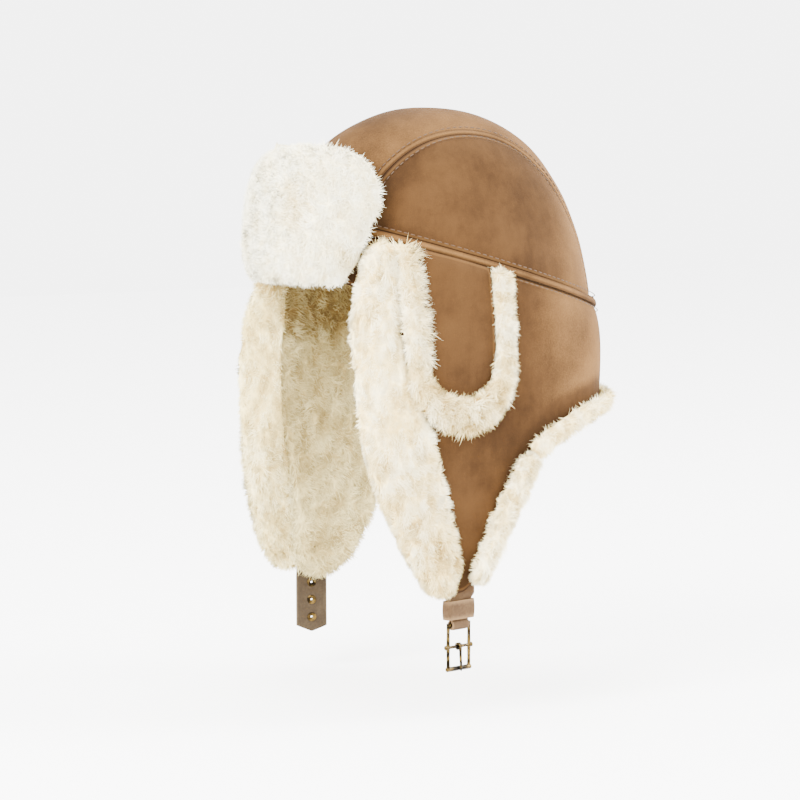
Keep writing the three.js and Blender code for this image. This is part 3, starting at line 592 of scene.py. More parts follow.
def fleecePiece(name, grid, pile, material, back=None, weight=None, lengths=None, toward=None,
                dents=(), paintedShade=0.0):
    # a lumpy body with fibres on it. A roll closes on itself across its columns; a sheet has a
    # back, a grid of the same size.
    wrap = back is None
    weight = np.ones(grid.shape[:2]) if weight is None else weight
    lengths = np.ones(grid.shape[:2]) if lengths is None else lengths
    toward = grid - grid.mean(1, keepdims=True) if toward is None else toward
    normals = gridNormals(grid, toward, wrapColumns=wrap)
    stretched = grid * np.array([1, 1, 1 / pile["stretch"]])
    lumps = (ripple(stretched, pile["lumpSize"], pile["seed"] + 1, 14)
             + 0.5 * ripple(stretched, pile["lumpSize"] * 0.42, pile["seed"] + 2, 14))
    height = lumps * pile["lump"] * np.minimum(weight, 1)
    # painted shade: the tone is lowered by the shade given
    tone = 0.55 + pile["mottle"] * lumps - paintedShade
    # painted shade: each dent is darker, as its hollow would be shaded
    for centre, radius, depth in dents:
        hollow = np.exp(-(np.linalg.norm(grid - centre, axis=-1) / radius) ** 2)
        height = height - depth * hollow
        tone = tone - 0.9 * hollow
    tone = np.clip(tone, 0, 1)
    soft = grid + normals * height[..., None]
    if wrap:
        points, faces = tubeBody(soft)
        bodyTone = np.append(tone, [0.3, 0.3])
    else:
        points = np.concatenate([soft.reshape(-1, 3), back.reshape(-1, 3)])
        faces = [shellFaces(*grid.shape[:2])]
        bodyTone = np.concatenate([tone.reshape(-1)] * 2)
    grown = growPile(soft, normals, tone, weight, lengths, pile, wrap)
    return pileMesh(name, points, faces, bodyTone, grown, material)


def suedePiece(name, outer, inner, edge, wear=0.0, topstitch=farFromSeam, wrap=False):
    # a wall of suede; edge and topstitch are the distances that its material reads
    values = {"wear": wear, "edge": edge, "topstitch": topstitch}
    spread = {key: np.broadcast_to(value, outer.shape[:2]) for key, value in values.items()}
    return finishPiece(shell(name, outer, inner, wrap, spread), suedeFinish)


def endOf(side):
    return "Left" if side > 0 else "Right"


def mirrored(points):
    return points * np.array([-1.0, 1.0, 1.0])


# dents: x, y, z of the middle, radius and depth; a negative depth is a swelling
crownSettings = dict(columns=84, rows=56, puff=0.8, puffReach=9.0, groove=0.4, grooveWidth=1.4,
                     wrinkle=0.5, seed=3,
                     dents=[(76, -38, 66, 13, 1.7), (80, -14, 56, 18, 1.2), (84, 20, 40, 26, 1.0),
                            (84, 48, 22, 16, 0.9), (20, -70, 86, 18, 1.0), (-40, 20, 98, 20, 1.0),
                            (8, 0, 108, 62, 3.2), (-10, -76, 72, 34, -3.0)])
wrinkleSize, wrinkleStretch, calmNearSeam = 46, 1.6, 8


def dress(points, edge, toward, settings, wrapRows=False):
    # height over a panel: it swells away from its seams, dips into them, and has shallow
    # wrinkles and round dents
    normals = gridNormals(points, toward, wrapRows)
    swell = settings["puff"] * (0.4 - np.exp(-edge / settings["puffReach"]))
    groove = settings["groove"] * np.exp(-(edge / settings["grooveWidth"]) ** 2)
    creases = ripple(points * np.array([1, 1, wrinkleStretch]), wrinkleSize, settings["seed"])
    height = swell - groove + settings["wrinkle"] * creases * (1 - np.exp(-edge / calmNearSeam))
    for x, y, z, radius, depth in settings["dents"]:
        away = np.linalg.norm(points - np.array([x, y, z]), axis=-1)
        height = height - depth * np.exp(-(away / radius) ** 2)
    return points + normals * height[..., None], normals


def domeLine(x, count):
    # the crown's line of equal x, from the front over the top to the rear: along each angle the
    # dome's formula is solved by halving
    angle = np.linspace(0.0, math.pi, count)
    n = hat["fullness"]
    x = np.asarray(x, float)[..., None]
    low, high = np.zeros(x.shape[:-1] + (count,)), np.full(x.shape[:-1] + (count,), 1.2)
    for _ in range(30):
        r = (low + high) / 2
        plan = (x / hat["halfWidth"]) ** 2 + (r * np.cos(angle)) ** 2
        inside = plan ** (n / 2) + (r * np.sin(angle)) ** n < 1
        low, high = np.where(inside, r, low), np.where(inside, high, r)
    y, z = -r * np.cos(angle) * hat["halfLength"], r * np.sin(angle) * domeHeight - hat["widestDrop"]
    return np.stack([x + 0 * y, y, z], -1)


def crownStrip():
    # lines over the crown, each cut where it meets the level seam
    half = hat["stripHalf"] - hat["gap"] / 2
    lines = domeLine(np.linspace(-half, half, crownSettings["rows"]), 600)
    above = lines[..., 2] - seamZ(lines[..., 1]) - hat["gap"]
    row = np.arange(len(lines))
    first = (above > 0).argmax(1)
    last = above.shape[1] - 1 - (above[:, ::-1] > 0).argmax(1)
    start = first - above[row, first] / (above[row, first] - above[row, first - 1])
    end = last + above[row, last] / (above[row, last] - above[row, last + 1])
    at = mix(start[:, None], end[:, None], np.linspace(0, 1, crownSettings["columns"])[None])
    low = np.floor(at).astype(int)
    points = mix(lines[row[:, None], low], lines[row[:, None], low + 1], (at - low)[..., None])
    toStrip = half - np.abs(points[..., 0])
    edge = np.minimum(toStrip, np.abs(points[..., 2] - seamZ(points[..., 1])))
    outer, normals = dress(points, edge, points - domeMiddle, crownSettings)
    # painted light: the strip is lighter towards the rear, where light falls from behind
    wear = 0.3 + 0.2 * ease((outer[..., 1] - 10) / 80)
    suedePiece("crownStrip", outer, outer - normals * hat["suede"], edge, wear, toStrip)


def crownSide(side, seed):
    # a grid between the level seam and the strip's seam, carried out to the dome. Painted shade
    # darkens it along its seams in front, and painted light makes it lighter at the rear.
    half = hat["stripHalf"] + hat["gap"] / 2
    turn = np.linspace(0.01, math.pi - 0.01, 2000)
    foot = skin(turn, seamAtTurn(turn) + hat["gap"])
    beyond = np.nonzero(foot[:, 0] > half)[0]
    turn = np.linspace(turn[beyond[0]], turn[beyond[-1]], crownSettings["columns"])
    low = skin(turn, seamAtTurn(turn) + hat["gap"])
    line = domeLine(half, 1500)
    line = line[line[:, 2] > seamZ(line[:, 1]) + hat["gap"]]
    length = lengthAlong(line)
    at = np.linspace(0, length[-1], len(turn))
    high = np.stack([np.interp(at, length, line[:, k]) for k in range(3)], -1)
    share = np.linspace(0, 1, crownSettings["rows"])[:, None, None]
    points = onDome(mix(low[None], high[None], share) - domeMiddle)
    toStrip = np.abs(points[..., 0] - half) * 1.1
    edge = np.minimum(toStrip, np.abs(points[..., 2] - seamZ(points[..., 1])))
    points = points * np.array([side, 1.0, 1.0])
    outer, normals = dress(points, edge, points - domeMiddle, dict(crownSettings, seed=seed))
    # painted light towards the rear, painted shade along the seams in front
    wear = (0.5 * ease((outer[..., 1] - 25) / 70)
            - 0.7 * np.exp(-(edge / 13) ** 2) * ease((-10 - outer[..., 1]) / 60))
    suedePiece("crownSide" + endOf(side), outer, outer - normals * hat["suede"], edge, wear, toStrip)


panelSettings = dict(columns=320, rows=36, puff=1.1, puffReach=9.0, groove=0.5, grooveWidth=1.6,
                     wrinkle=0.5, seed=21,
                     dents=[(92, 24, -30, 20, 1.6), (84, 52, -50, 18, 1.2), (94, -18, -120, 14, 0.9),
                            (-92, 24, -36, 20, 1.4), (-30, 104, -50, 22, 1.4), (40, 102, -56, 18, 1.2)])
weltSettings = dict(columns=480, rows=8, fullness=1.15, roundness=0.6, wave=0.25, waveSize=24, seed=5)


def panel():
    # painted light makes it lighter behind the ear, and painted shade darkens it along its lower edge,
    # where the cuffs lie
    place = np.linspace(0, 2 * lastPlace, panelSettings["columns"], endpoint=False)
    turn, low = (values[:, None] for values in edgeAt(place))
    top = seamAtTurn(turn) - hat["weltHeight"] - hat["gap"]
    z = mix(top, low, np.linspace(0, 1, panelSettings["rows"])[None, :])
    points = skin(turn, z)
    edge = np.minimum(np.abs(z - low), np.abs(top - z))
    outer, _ = dress(points, edge, points * np.array([1, 1, 0]), panelSettings, True)
    # painted light behind the ear, painted shade near the lower edge
    wear = (0.5 * ease((outer[..., 1] - 5) / 60) * ease((outer[..., 2] + 120) / 50)
            - 0.8 * (1 - ease((np.abs(z - low) - 5) / 16)))
    suedePiece("earNapePanel", outer, skin(turn, z, hat["suede"]), edge, wear, wrap=True)


def welt():
    # a rounded fold: half an ellipse high across the seam, with a soft wave along it
    s = weltSettings
    turn = edgeAt(np.linspace(0, 2 * lastPlace, s["columns"], endpoint=False))[0][:, None]
    across = np.linspace(0, 1, s["rows"])[None]
    z = seamAtTurn(turn) - across * hat["weltHeight"]
    arch = np.sin(math.pi * np.clip(across * 0.94 + 0.03, 0, 1)) ** s["roundness"]
    points, normals = skin(turn, z), skinNormal(turn, z)
    rise = hat["weltProud"] * s["fullness"] * arch + ripple(points, s["waveSize"], s["seed"]) * s["wave"]
    crest = np.sin(math.pi * across)
    # painted highlight: the welt is lighter along its crest
    suedePiece("seamWelt", points + normals * rise[..., None], points - normals * hat["suede"],
               0.5 + 8 * crest, 0.4 * crest, wrap=True)


crownStrip()
crownSide(1, 7)
crownSide(-1, 8)
panel()
welt()
print("suede made")


# dents: across, share of the height, out, radius and depth
visorSettings = dict(height=82, turn=47, lean=9.5, pile=20, droop=8, body=0.7, columns=90, rows=60,
                     rim=0.22, roundness=2.8, dents=[(0.36, 0.56, 16, 10, 2.6), (0.93, 0.2, 12, 6, 2.4)])
visorPile = dict(seed=31, count=34000, lock=4.2, stretch=1.0, length=4.4, flow=(0, 0, -0.12), stray=0.3,
                 fuzz=0.35, clump=0.2, radius=0.34, turns=0.5, curl=0.5, bend=0.2, sunk=0.6, lump=0.9,
                 lumpSize=17, mottle=0.2, relief=0.35, rings=1)
# how far the visor reaches to each side, as shares, at shares of its height
visorRise = np.array([0, 0.15, 0.4, 0.6, 0.8, 0.93, 1])
visorReach = np.array([0.74, 0.84, 0.93, 1.0, 0.96, 0.84, 0.66])


def visorPoint(across, share, out):
    s = visorSettings
    place = np.interp(share, visorRise, np.arange(len(visorRise)))
    turn = np.radians(across * s["turn"] * readTable(visorReach, place))
    foot, back = planShare(np.array(0.0)), s["lean"] * share
    x = (hat["halfWidth"] * foot - back + out) * np.sin(turn)
    y = -(hat["halfLength"] * foot - back + out) * np.cos(turn)
    return np.stack(np.broadcast_arrays(x, y, share * s["height"]), -1)


def visor():
    # the fleece is a cushion: full in the middle, and rounded off towards all four edges
    s = visorSettings
    across = np.sin(np.linspace(-1, 1, s["columns"]) * math.pi / 2)[:, None]
    share = (0.5 + 0.5 * np.sin(np.linspace(-1, 1, s["rows"]) * math.pi / 2))[None, :]

    def drooped(out):
        # the far top corner hangs lower
        sheet = visorPoint(across, share, out)
        sheet[..., 2] -= s["droop"] * ease(0.4 - across) * share ** 2
        return sheet

    foot = hat["weltProud"] + hat["gap"]
    front, back = drooped(foot + hat["suede"]), drooped(foot)
    reach = np.radians(s["turn"]) * hat["halfWidth"]
    edge = np.minimum((1 - np.abs(across)) * reach, (0.5 - np.abs(share - 0.5)) * s["height"])
    suedePiece("visorSkin", front, back, edge + 1)
    roundOff = lambda at: np.sqrt(np.clip(1 - np.abs(at) ** s["roundness"], 0, 1))
    full = roundOff(across) * roundOff(2 * share - 1)
    base = foot + hat["gap"] + hat["suede"]
    dents = [(visorPoint(np.array(a), np.array(b), out), radius, depth)
             for a, b, out, radius, depth in s["dents"]]
    fleecePiece("visorFleece", drooped(base + s["pile"] * s["body"] * mix(s["rim"], 1, full)), visorPile,
                whiteFleece, visorPoint(across, share, base), toward=front - back,
                weight=mix(1.5, 1.0, full), dents=dents)


visor()


# the three shade settings paint shade onto the linings: darker towards their tops, under the visor
liningSettings = dict(body=0.66, puff=12, rounding=9, paintedShade=0.85, paintedShadeFrom=-54, paintedShadeReach=32,
                      crownInset=5, crownLump=0.9, crownMottle=0.35)
liningPile = dict(seed=51, count=18000, lock=5.0, stretch=1.6, length=5.0, flow=(0, 0, -0.3), stray=0.3,
                  fuzz=0.35, clump=0.22, radius=0.4, turns=0.5, curl=0.6, bend=0.22, sunk=0.6, lump=0.8,
                  lumpSize=14, mottle=0.24, relief=0.35, rings=1)
# places in the outline: the brow's joint with the flaps, the front cuff's corner and the nape's
# joint, with half the play between two linings
browJoint, cuffCorner, notch, play = 4, 4.5, 15.5, 0.03


def puffAt(near, share):
    # how far a flap's fleece is puffed, from 0 round its edges to 1 low at the rear
    along = np.clip((near - cuffCorner) / (notch - cuffCorner), 0, 1)
    return np.sin(math.pi * along ** 1.4) * ease(share / 0.6)


def liningSheet(name, places, depth, pile, rows, loose=(False, False), puff=0.0, overhang=0.0):
    # fleece inside the panel. It is rounded off along its lower edge and at its loose ends, and
    # its lower rear part may be puffed and hang over the edge.
    s = liningSettings
    turn, low = edgeAt(places)
    at = skin(turn, low)
    outward = unit(np.cross(unit(np.gradient(at, axis=0)), skinNormal(turn, low)))[:, None]
    along = lengthAlong(at)[:, None]
    near = hat["suede"] + hat["gap"]
    top = (seamAtTurn(turn, near) - hat["weltHeight"] - hat["gap"])[:, None]
    turn, low = turn[:, None], low[:, None]
    share = np.linspace(0, 1, rows)[None, :] ** 0.85
    z = mix(top, low, share)
    outer = skin(turn, z, near)
    away = np.minimum(z - low, s["rounding"])
    if loose[0]:
        away = np.minimum(away, along)
    if loose[1]:
        away = np.minimum(away, along[-1] - along)
    rounded = np.sqrt(np.clip(1 - (1 - away / s["rounding"]) ** 2, 0, 1))
    place = np.minimum(places, 2 * lastPlace - places)[:, None]
    thick = (depth * s["body"] * mix(0.25, 1, rounded)
             + puff * puffAt(place, share) * mix(0.5, 1, rounded))
    rear = ease((place - 7.5) / 3) * ease((share - 0.4) / 0.6)
    newTurn, newZ = slideOnSkin(turn + 0 * z, z, outward + 0 * z[..., None], overhang * rear)
    inner = skin(newTurn, newZ, near + thick)
    # painted shade: the lining is darker towards its top, under the visor
    under = s["paintedShade"] * ease((inner[..., 2] - s["paintedShadeFrom"]) / s["paintedShadeReach"])
    fleecePiece(name, inner, pile, liningFleece, outer, toward=inner - outer, paintedShade=under)


def crownFleece():
    # the dome inside, from the pole down to the level seam
    s = liningSettings
    turn = np.linspace(0, 2 * math.pi, 73)[:-1]
    share = np.linspace(0.001, 1, 30)
    inset = hat["suede"] + hat["gap"] + s["crownInset"]

    def dome(depth):
        foot = skin(turn, seamAtTurn(turn, depth) - hat["weltHeight"], depth)
        way = mix(np.array([0, 0, 1.0]), unit(foot - domeMiddle)[:, None], share[None, :, None])
        return onDome(way, depth)

    pile = dict(liningPile, seed=55, count=4000)
    inner, outer = dome(inset + hat["crownPile"] * s["body"]), dome(inset)
    normals = gridNormals(inner, inner - outer, True)
    lumps = ripple(inner, pile["lumpSize"], pile["seed"] + 1, 14)
    soft = inner + normals * (lumps * s["crownLump"])[..., None]
    tone = np.clip(0.55 + s["crownMottle"] * lumps, 0, 1)
    even = np.ones(tone.shape).T
    grown = growPile(soft.transpose(1, 0, 2), normals.transpose(1, 0, 2), tone.T, even, even, pile,
                     True)
    pileMesh("crownFleece", np.concatenate([soft.reshape(-1, 3), outer.reshape(-1, 3)]),
             [shellFaces(len(turn), len(share), True)], np.concatenate([tone.reshape(-1)] * 2), grown,
             liningFleece)


def linings():
    # name, outline places, depth, seed, fibres, rows, loose ends, puff and overhang
    flap = np.linspace(browJoint + play, notch, 110)
    nape = np.linspace(notch + play, 2 * lastPlace - notch - play, 80)
    brow = np.linspace(play - browJoint, browJoint - play, 50)
    puff = liningSettings["puff"]
    for name, places, depth, seed, count, *rest in (
            ("flapFleeceRight", 2 * lastPlace - flap[::-1], hat["flapPile"], 51, 18000, 50,
             (False, True), puff, 14.0),
            ("flapFleeceLeft", flap, hat["flapPile"], 52, 8000, 50, (True, False), puff, 3.0),
            ("napeFleece", nape, hat["crownPile"], 53, 4500, 30),
            ("browFleece", brow, hat["crownPile"], 54, 1400, 12)):
        liningSheet(name, places, depth, dict(liningPile, seed=seed, count=count), *rest)
    crownFleece()


linings()


edgeSettings = dict(width=36, overhang=13, rise=11, top=26, topTurn=46, edgeGap=0.6, body=0.8)
# place in the outline, shares on the suede and past its edge, and how far it wraps the edge; the
# pile spreads a little past the solids' own shares
frontCuff = np.array([(3.5, 0.36, 0.6, 0), (4, 0.5, 0.8, 0), (4.5, 0.6, 0.6, 0.3), (5, 0.68, 0.15, 1),
                      (5.5, 0.76, 0.1, 1), (6, 0.82, 0.1, 1), (6.5, 0.9, 0.2, 1), (7, 0.96, 0.45, 1),
                      (8, 0.8, 0.75, 1), (9, 0.66, 0.85, 1), (10, 0.44, 0.95, 1), (10.5, 0.34, 0.8, 1)])
farCuff = frontCuff + np.interp(frontCuff[:, :1], [4.5, 5, 6, 7, 8, 9, 10, 10.5],
                                [0, 0.15, 0.3, 0.55, 1.15, 1.3, 1.1, 0.8]) * np.array([0, 0, 1, 0])
farCuff[1:3, 3] = (0.6, 1)
rearCuff = np.array([(11.8, 0.14, 0.5, 1), (13, 0.13, 0.6, 1), (14, 0.13, 0.75, 1), (15.2, 0.14, 0.9, 1)])
napeCuff = np.array([(15.3, 0.14, 0.85, 1), (17, 0.12, 0.7, 1), (18.5, 0.12, 0.6, 1), (20, 0.1, 0.6, 1)])
cuffPile = dict(seed=71, count=29000, lock=4.0, stretch=2.4, length=4.1, flow=(0, 0, -0.4), stray=0.34,
                fuzz=0.3, clump=0.22, radius=0.34, turns=0.5, curl=0.5, bend=0.22, sunk=0.6, lump=1.0,
                lumpSize=8, mottle=0.32, relief=0.35, rings=1)
# the section's first corners are rounded by five steps each, and fibres grow on these only
shownCorners, cornerSteps, woolly = 7, 5, 34


def cuffRoute(place):
    corner, cornerZ = edgeAt(cuffCorner)
    turn, z = edgeAt(place)
    share = (cuffCorner - place) / (cuffCorner - frontCuff[0, 0])
    above = place < cuffCorner
    return (np.where(above, mix(corner, math.radians(edgeSettings["topTurn"]), share), turn),
            np.where(above, mix(cornerZ, edgeSettings["top"], share), z))


def cuffGrid(table, count, depth, both=False, rounding=(5, 9), rise=1.0):
    # a roll round the suede's edge: at each place of the outline its section is a smooth closed
    # curve through eleven corners, given by the way past the edge and the height over the suede
    first = table[0, 0]
    end = 2 * lastPlace - first if both else table[-1, 0]
    place = np.linspace(first, end, count)
    near = np.minimum(place, 2 * lastPlace - place) if both else place
    back, over, hook = (np.interp(near, table[:, 0], table[:, k]) for k in (1, 2, 3))
    share = np.linspace(0, 1, count)
    swell = mix(0.7, 1, np.sqrt(np.sin(math.pi * mix(0.05, 0.95, share))))
    turn, z = cuffRoute(place)
    ahead = unit(np.gradient(skin(turn, z), axis=0))
    outward = unit(np.cross(ahead, skinNormal(turn, z)))
    base = hat["gap"] * 2 + hat["weltProud"]
    rise = base + rise * edgeSettings["rise"] * swell * edgeSettings["body"]
    lay = back * edgeSettings["width"]
    lip = np.maximum(over * edgeSettings["overhang"] * swell * edgeSettings["body"],
                     2 * edgeSettings["edgeGap"])
    flat = np.full(count, base)
    section = [(-lay, flat), (-lay * 0.92, mix(base, rise, 0.5)), (-lay * 0.55, mix(base, rise, 0.92)),
               (lay * 0, rise), (lip * 0.7, mix(base, rise, 0.66)), (lip, mix(base, -0.1 * depth, hook)),
               (lip * mix(0.8, 0.85, hook), mix(base, -0.6 * depth, hook)),
               (mix(lip * 0.4, edgeSettings["edgeGap"], hook), mix(base, -depth, hook)),
               (lay * 0 + edgeSettings["edgeGap"], flat), (-lay * 0.33, flat), (-lay * 0.67, flat)]
    corners = np.array([np.stack([o, h], -1) for o, h in section])
    fine = []
    for k in range(len(corners)):
        before, start, end, after = (corners[(k + m) % len(corners)] for m in (-1, 0, 1, 2))
        steps = cornerSteps if k < shownCorners else 1
        for t in np.arange(steps) / steps:
            slopeIn, slopeOut = (end - before) * 0.5, (after - start) * 0.5
            fine.append((2 * t ** 3 - 3 * t ** 2 + 1) * start + (t ** 3 - 2 * t ** 2 + t) * slopeIn
                        + (-2 * t ** 3 + 3 * t ** 2) * end + (t ** 3 - t ** 2) * slopeOut)
    fine = np.array(fine)
    slidTurn, slidZ = slideOnSkin(turn[:, None], z[:, None], outward[:, None], fine[..., 0].T)
    grid = roundEnds(skin(slidTurn, slidZ, -fine[..., 1].T), rounding)
    weight = np.ones(grid.shape[:2])
    weight[:, woolly:] = 0.0
    short = np.interp(near, [4, 4.8, 6.4, 7.5], [1, 0.65, 0.65, 1])[:, None] + np.zeros(weight.shape)
    return grid, weight, short


def cuffs():
    # the far cuff has painted shade: it is darker where it lies under the visor and towards its rear
    # side, and its fleece is a darker, shaded copy of the cream. Painted shade also darkens the left
    # front cuff towards its foot.
    depth = hat["suede"] + hat["gap"] + hat["flapPile"]
    grid, weight, lengths = cuffGrid(frontCuff, 100, depth)
    # painted shade towards the cuff's foot
    fleecePiece("frontCuffLeft", grid, cuffPile, creamFleece, weight=weight, lengths=lengths,
                paintedShade=0.2 * ease((-130 - grid[..., 2]) / 50))
    grid, weight, lengths = cuffGrid(farCuff, 100, depth)
    # painted shade on the side of the section that is turned away
    turnedAway = ease((np.arange(grid.shape[1]) - 16) / 12)
    fleecePiece("frontCuffRight", mirrored(grid), dict(cuffPile, seed=72, count=18000), farFleece,
                weight=weight, lengths=lengths,
                paintedShade=0.4 * ease((grid[..., 2] + 24) / 24) + 0.15 * turnedAway)
    grid, weight, _ = cuffGrid(rearCuff, 44, depth, rounding=(7, 3))
    fleecePiece("rearCuffLeft", grid, dict(cuffPile, seed=73, count=9000), creamFleece, weight=weight)
    fleecePiece("rearCuffRight", mirrored(grid), dict(cuffPile, seed=74, count=6000), creamFleece,
                weight=weight)
    depth = hat["suede"] + hat["gap"] + hat["crownPile"]
    grid, weight, _ = cuffGrid(napeCuff, 120, depth, True, (3, 3), 0.6)
    fleecePiece("napeCuff", grid, dict(cuffPile, seed=75, count=9500), creamFleece, weight=weight)


cuffs()


tabSettings = dict(middle=-0.2525 * hat["halfLength"], halfWidth=21.5, bottom=-69, thickness=4.5,
                   trimWidth=12.5, trimFoot=21, trimRise=9.5, body=0.66, wave=0.5, waveSize=40, seed=61)
tabPile = dict(cuffPile, seed=81, count=12000, length=4.2, lock=3.4, stretch=1.6,
               flow=(0, 0, -0.25), fuzz=0.4, lumpSize=8, lump=0.6)
tabFoot = tabSettings["bottom"] + tabSettings["halfWidth"]


def tabPoint(y, z, out):
    return skin(turnAtY(y, z), z, -out)


def tabTop(y):
    return seamZ(y) - hat["weltHeight"] - hat["gap"]


def earTab(side):
    t = tabSettings
    mirror = np.array([side, 1, 1.0])
    across = np.radians(np.linspace(-90, 90, 40))[:, None]
    share = np.linspace(0, 1, 40)[None, :]
    y = t["middle"] + t["halfWidth"] * np.sin(across)
    z = mix(tabTop(y), tabFoot - t["halfWidth"] * np.cos(across), share)
    y = y + np.zeros_like(z)
    ends = ease((1 - share) * 9) * ease(share * 14)
    pad = t["thickness"] * mix(0.45, 1, np.cos(across * 0.9)) * mix(0.55, 1, ends)
    outer, inner = (tabPoint(y, z, 2 * hat["gap"] + lift) * mirror for lift in (pad, 0))
    wave = ripple(outer, t["waveSize"], t["seed"]) * t["wave"]
    outer += gridNormals(outer, outer - inner) * wave[..., None]
    edge = np.minimum(t["halfWidth"] * (1 - np.abs(np.sin(across))), tabTop(y) - z + 0.6)
    suedePiece("earTab" + endOf(side), outer, inner, edge)
    # its fleece edge: down the front leg, round the foot, where it is wider, and up the rear leg
    inside = t["halfWidth"] + hat["gap"]
    legs = np.linspace(0, 1, 30)[:-1][:, None]
    bend = np.radians(np.linspace(-90, 90, 40))[:, None]
    profile = np.radians(np.linspace(-90, 270, 25)[:-1])[None]
    off = 0.5 + 0.47 * np.cos(profile)
    rise = 2 * hat["gap"] + np.clip(np.sin(profile), 0, 1) ** 0.7 * t["trimRise"] * t["body"]

    def leg(way):
        yLeg = t["middle"] + way * (inside + off * t["trimWidth"]) + 0 * legs
        return tabPoint(yLeg, mix(tabTop(yLeg), tabFoot, legs), rise + 0 * legs)

    out = inside + off * mix(t["trimWidth"], t["trimFoot"], np.cos(bend) ** 2)
    foot = tabPoint(t["middle"] + out * np.sin(bend), tabFoot - out * np.cos(bend), rise + 0 * bend)
    grid = roundEnds(np.concatenate([leg(-1), foot, leg(1)[::-1]]), (4, 4)) * mirror
    weight = np.ones(grid.shape[:2]) * (np.sin(profile) > 0.1)
    low = ease((grid[..., 2].mean(1, keepdims=True) - tabFoot + 4) / -20)
    pile = tabPile if side > 0 else dict(tabPile, seed=82, count=9000)
    wisps = np.clip(-np.cos(profile), 0, 1) * (np.arange(len(grid)) < len(legs))[:, None]
    # painted shade darkens the trim towards its foot
    fleecePiece("earTabTrim" + endOf(side), grid, pile, creamFleece, weight=weight,
                lengths=mix(1.0, 1.25, low) + wisps, paintedShade=0.28 * low)


earTab(1)
earTab(-1)
print("ear tabs made")


strapSettings = dict(width=20, loopWidth=14, tuck=11, turn=15, freeTurn=22, freeThickness=3.2,
                     freeLength=51, bow=1.2, point=4, pitch=11.3, hole=2.0, holes=3, lastHole=9.5,
                     cutterLength=20, keeperHeight=11.5, keeperWall=1.15, keeperBulge=0.35,
                     keeperCorner=0.35, bar=1.3, heelDrop=20, buckleHeight=27, rail=1.15, railPlay=0.3,
                     pin=0.95, knob=0.55, pinShare=0.5, overhang=2.8, endBar=1.15, endReach=0.5,
                     prongWidth=2.4, prongWall=1.0, prongTip=1.6)
strapTurn, freeAngle = math.radians(strapSettings["turn"]), -math.radians(strapSettings["freeTurn"])
tipTurn, tipZ = (float(v) for v in edgeAt(11))
tipNormal = skinNormal(tipTurn, tipZ)
sewnTurn = math.atan2(tipNormal[1], tipNormal[0])
strapPlace = skin(tipTurn, tipZ, 2 * hat["suede"] + 4 * hat["gap"])[:2]
strapTop = strapSettings["tuck"] - hat["flapDrop"]
heelBar = -hat["flapDrop"] - strapSettings["heelDrop"]
freeEnd = -hat["flapDrop"] - strapSettings["freeLength"]
keeperFoot = heelBar + strapSettings["bar"] + 2 * hat["gap"] + hat["suede"]
keeperTop = min(keeperFoot + strapSettings["keeperHeight"], -hat["flapDrop"] - hat["gap"])
endBar = heelBar - strapSettings["buckleHeight"]
pinZ = mix(heelBar, endBar, strapSettings["pinShare"])


def turned(points, angle, x, y):
    # turns flat points about an upright line, by an angle that may change with height, and
    # moves them to the strap's place
    across, along = points[..., 0], points[..., 1]
    return np.stack([across * np.cos(angle) - along * np.sin(angle) + x,
                     across * np.sin(angle) + along * np.cos(angle) + y, points[..., 2]], -1)


def onBuckle(points):
    return turned(points, strapTurn, *strapPlace)


def twistAt(z, sewn, free, start, end):
    return mix(sewn, free, ease((z - start) / (end - start)))


def bowAt(z):
    # how far the free strap bows outward below the flap
    return strapSettings["bow"] * ((z + hat["flapDrop"]) / strapSettings["freeLength"]) ** 2


def strapSection(width, thickness, count=14):
    # a flat section with rounded edges: points on its two faces and half circles at its ends
    half = width / 2 - thickness / 2
    flat = np.linspace(-half, half, count)
    arc = np.radians(np.linspace(-90, 90, 7)[1:-1])
    right = np.stack([np.sin(arc) * thickness / 2, half + np.cos(arc) * thickness / 2], -1)
    face = np.stack([np.full(count, -thickness / 2), flat], -1)
    return np.concatenate([face, right, -face, -right])


def freeStrap():
    s = strapSettings
    section = strapSection(s["width"], s["freeThickness"])[None]
    edge = np.abs(section[..., 1]) / (s["width"] / 2)
    z = mix(strapTop, freeEnd + s["point"] * edge, np.linspace(0, 1, 90)[:, None])
    bow = bowAt(z) * (z < -hat["flapDrop"])
    points = np.stack([section[..., 0] + bow, section[..., 1] + 0 * z, z], -1)
    angle = twistAt(z, -sewnTurn, freeAngle, -hat["flapDrop"], -hat["flapDrop"] - s["freeLength"] / 3)
    piece = closedTube("freeStrap", turned(points, angle, -strapPlace[0], strapPlace[1]),
                       np.broadcast_to(edge ** 10 * 0.9, z.shape))
    levels = [freeEnd + s["lastHole"] + k * s["pitch"] for k in range(s["holes"])]
    for level in levels:
        bpy.ops.mesh.primitive_cylinder_add(vertices=32, radius=s["hole"] * mm,
                                            depth=s["cutterLength"] * mm)
        cutter = bpy.context.object
        move = Matrix.Translation(Vector((-strapPlace[0], strapPlace[1], level)) * mm)
        cutter.data.transform(move @ Matrix.Rotation(freeAngle, 4, "Z")
                              @ Matrix.Rotation(math.pi / 2, 4, "Y"))
        change = piece.modifiers.new("hole", "BOOLEAN")
        change.object = cutter
        change.solver = "EXACT"
        bpy.context.view_layer.objects.active = piece
        bpy.ops.object.modifier_apply(modifier=change.name)
        bpy.data.objects.remove(cutter)
    finishPiece(piece, freeStrapFinish)
    for k, level in enumerate(levels):
        finishPiece(eyelet("eyelet%d" % (k + 1), level), brassFinish, replaces=False)


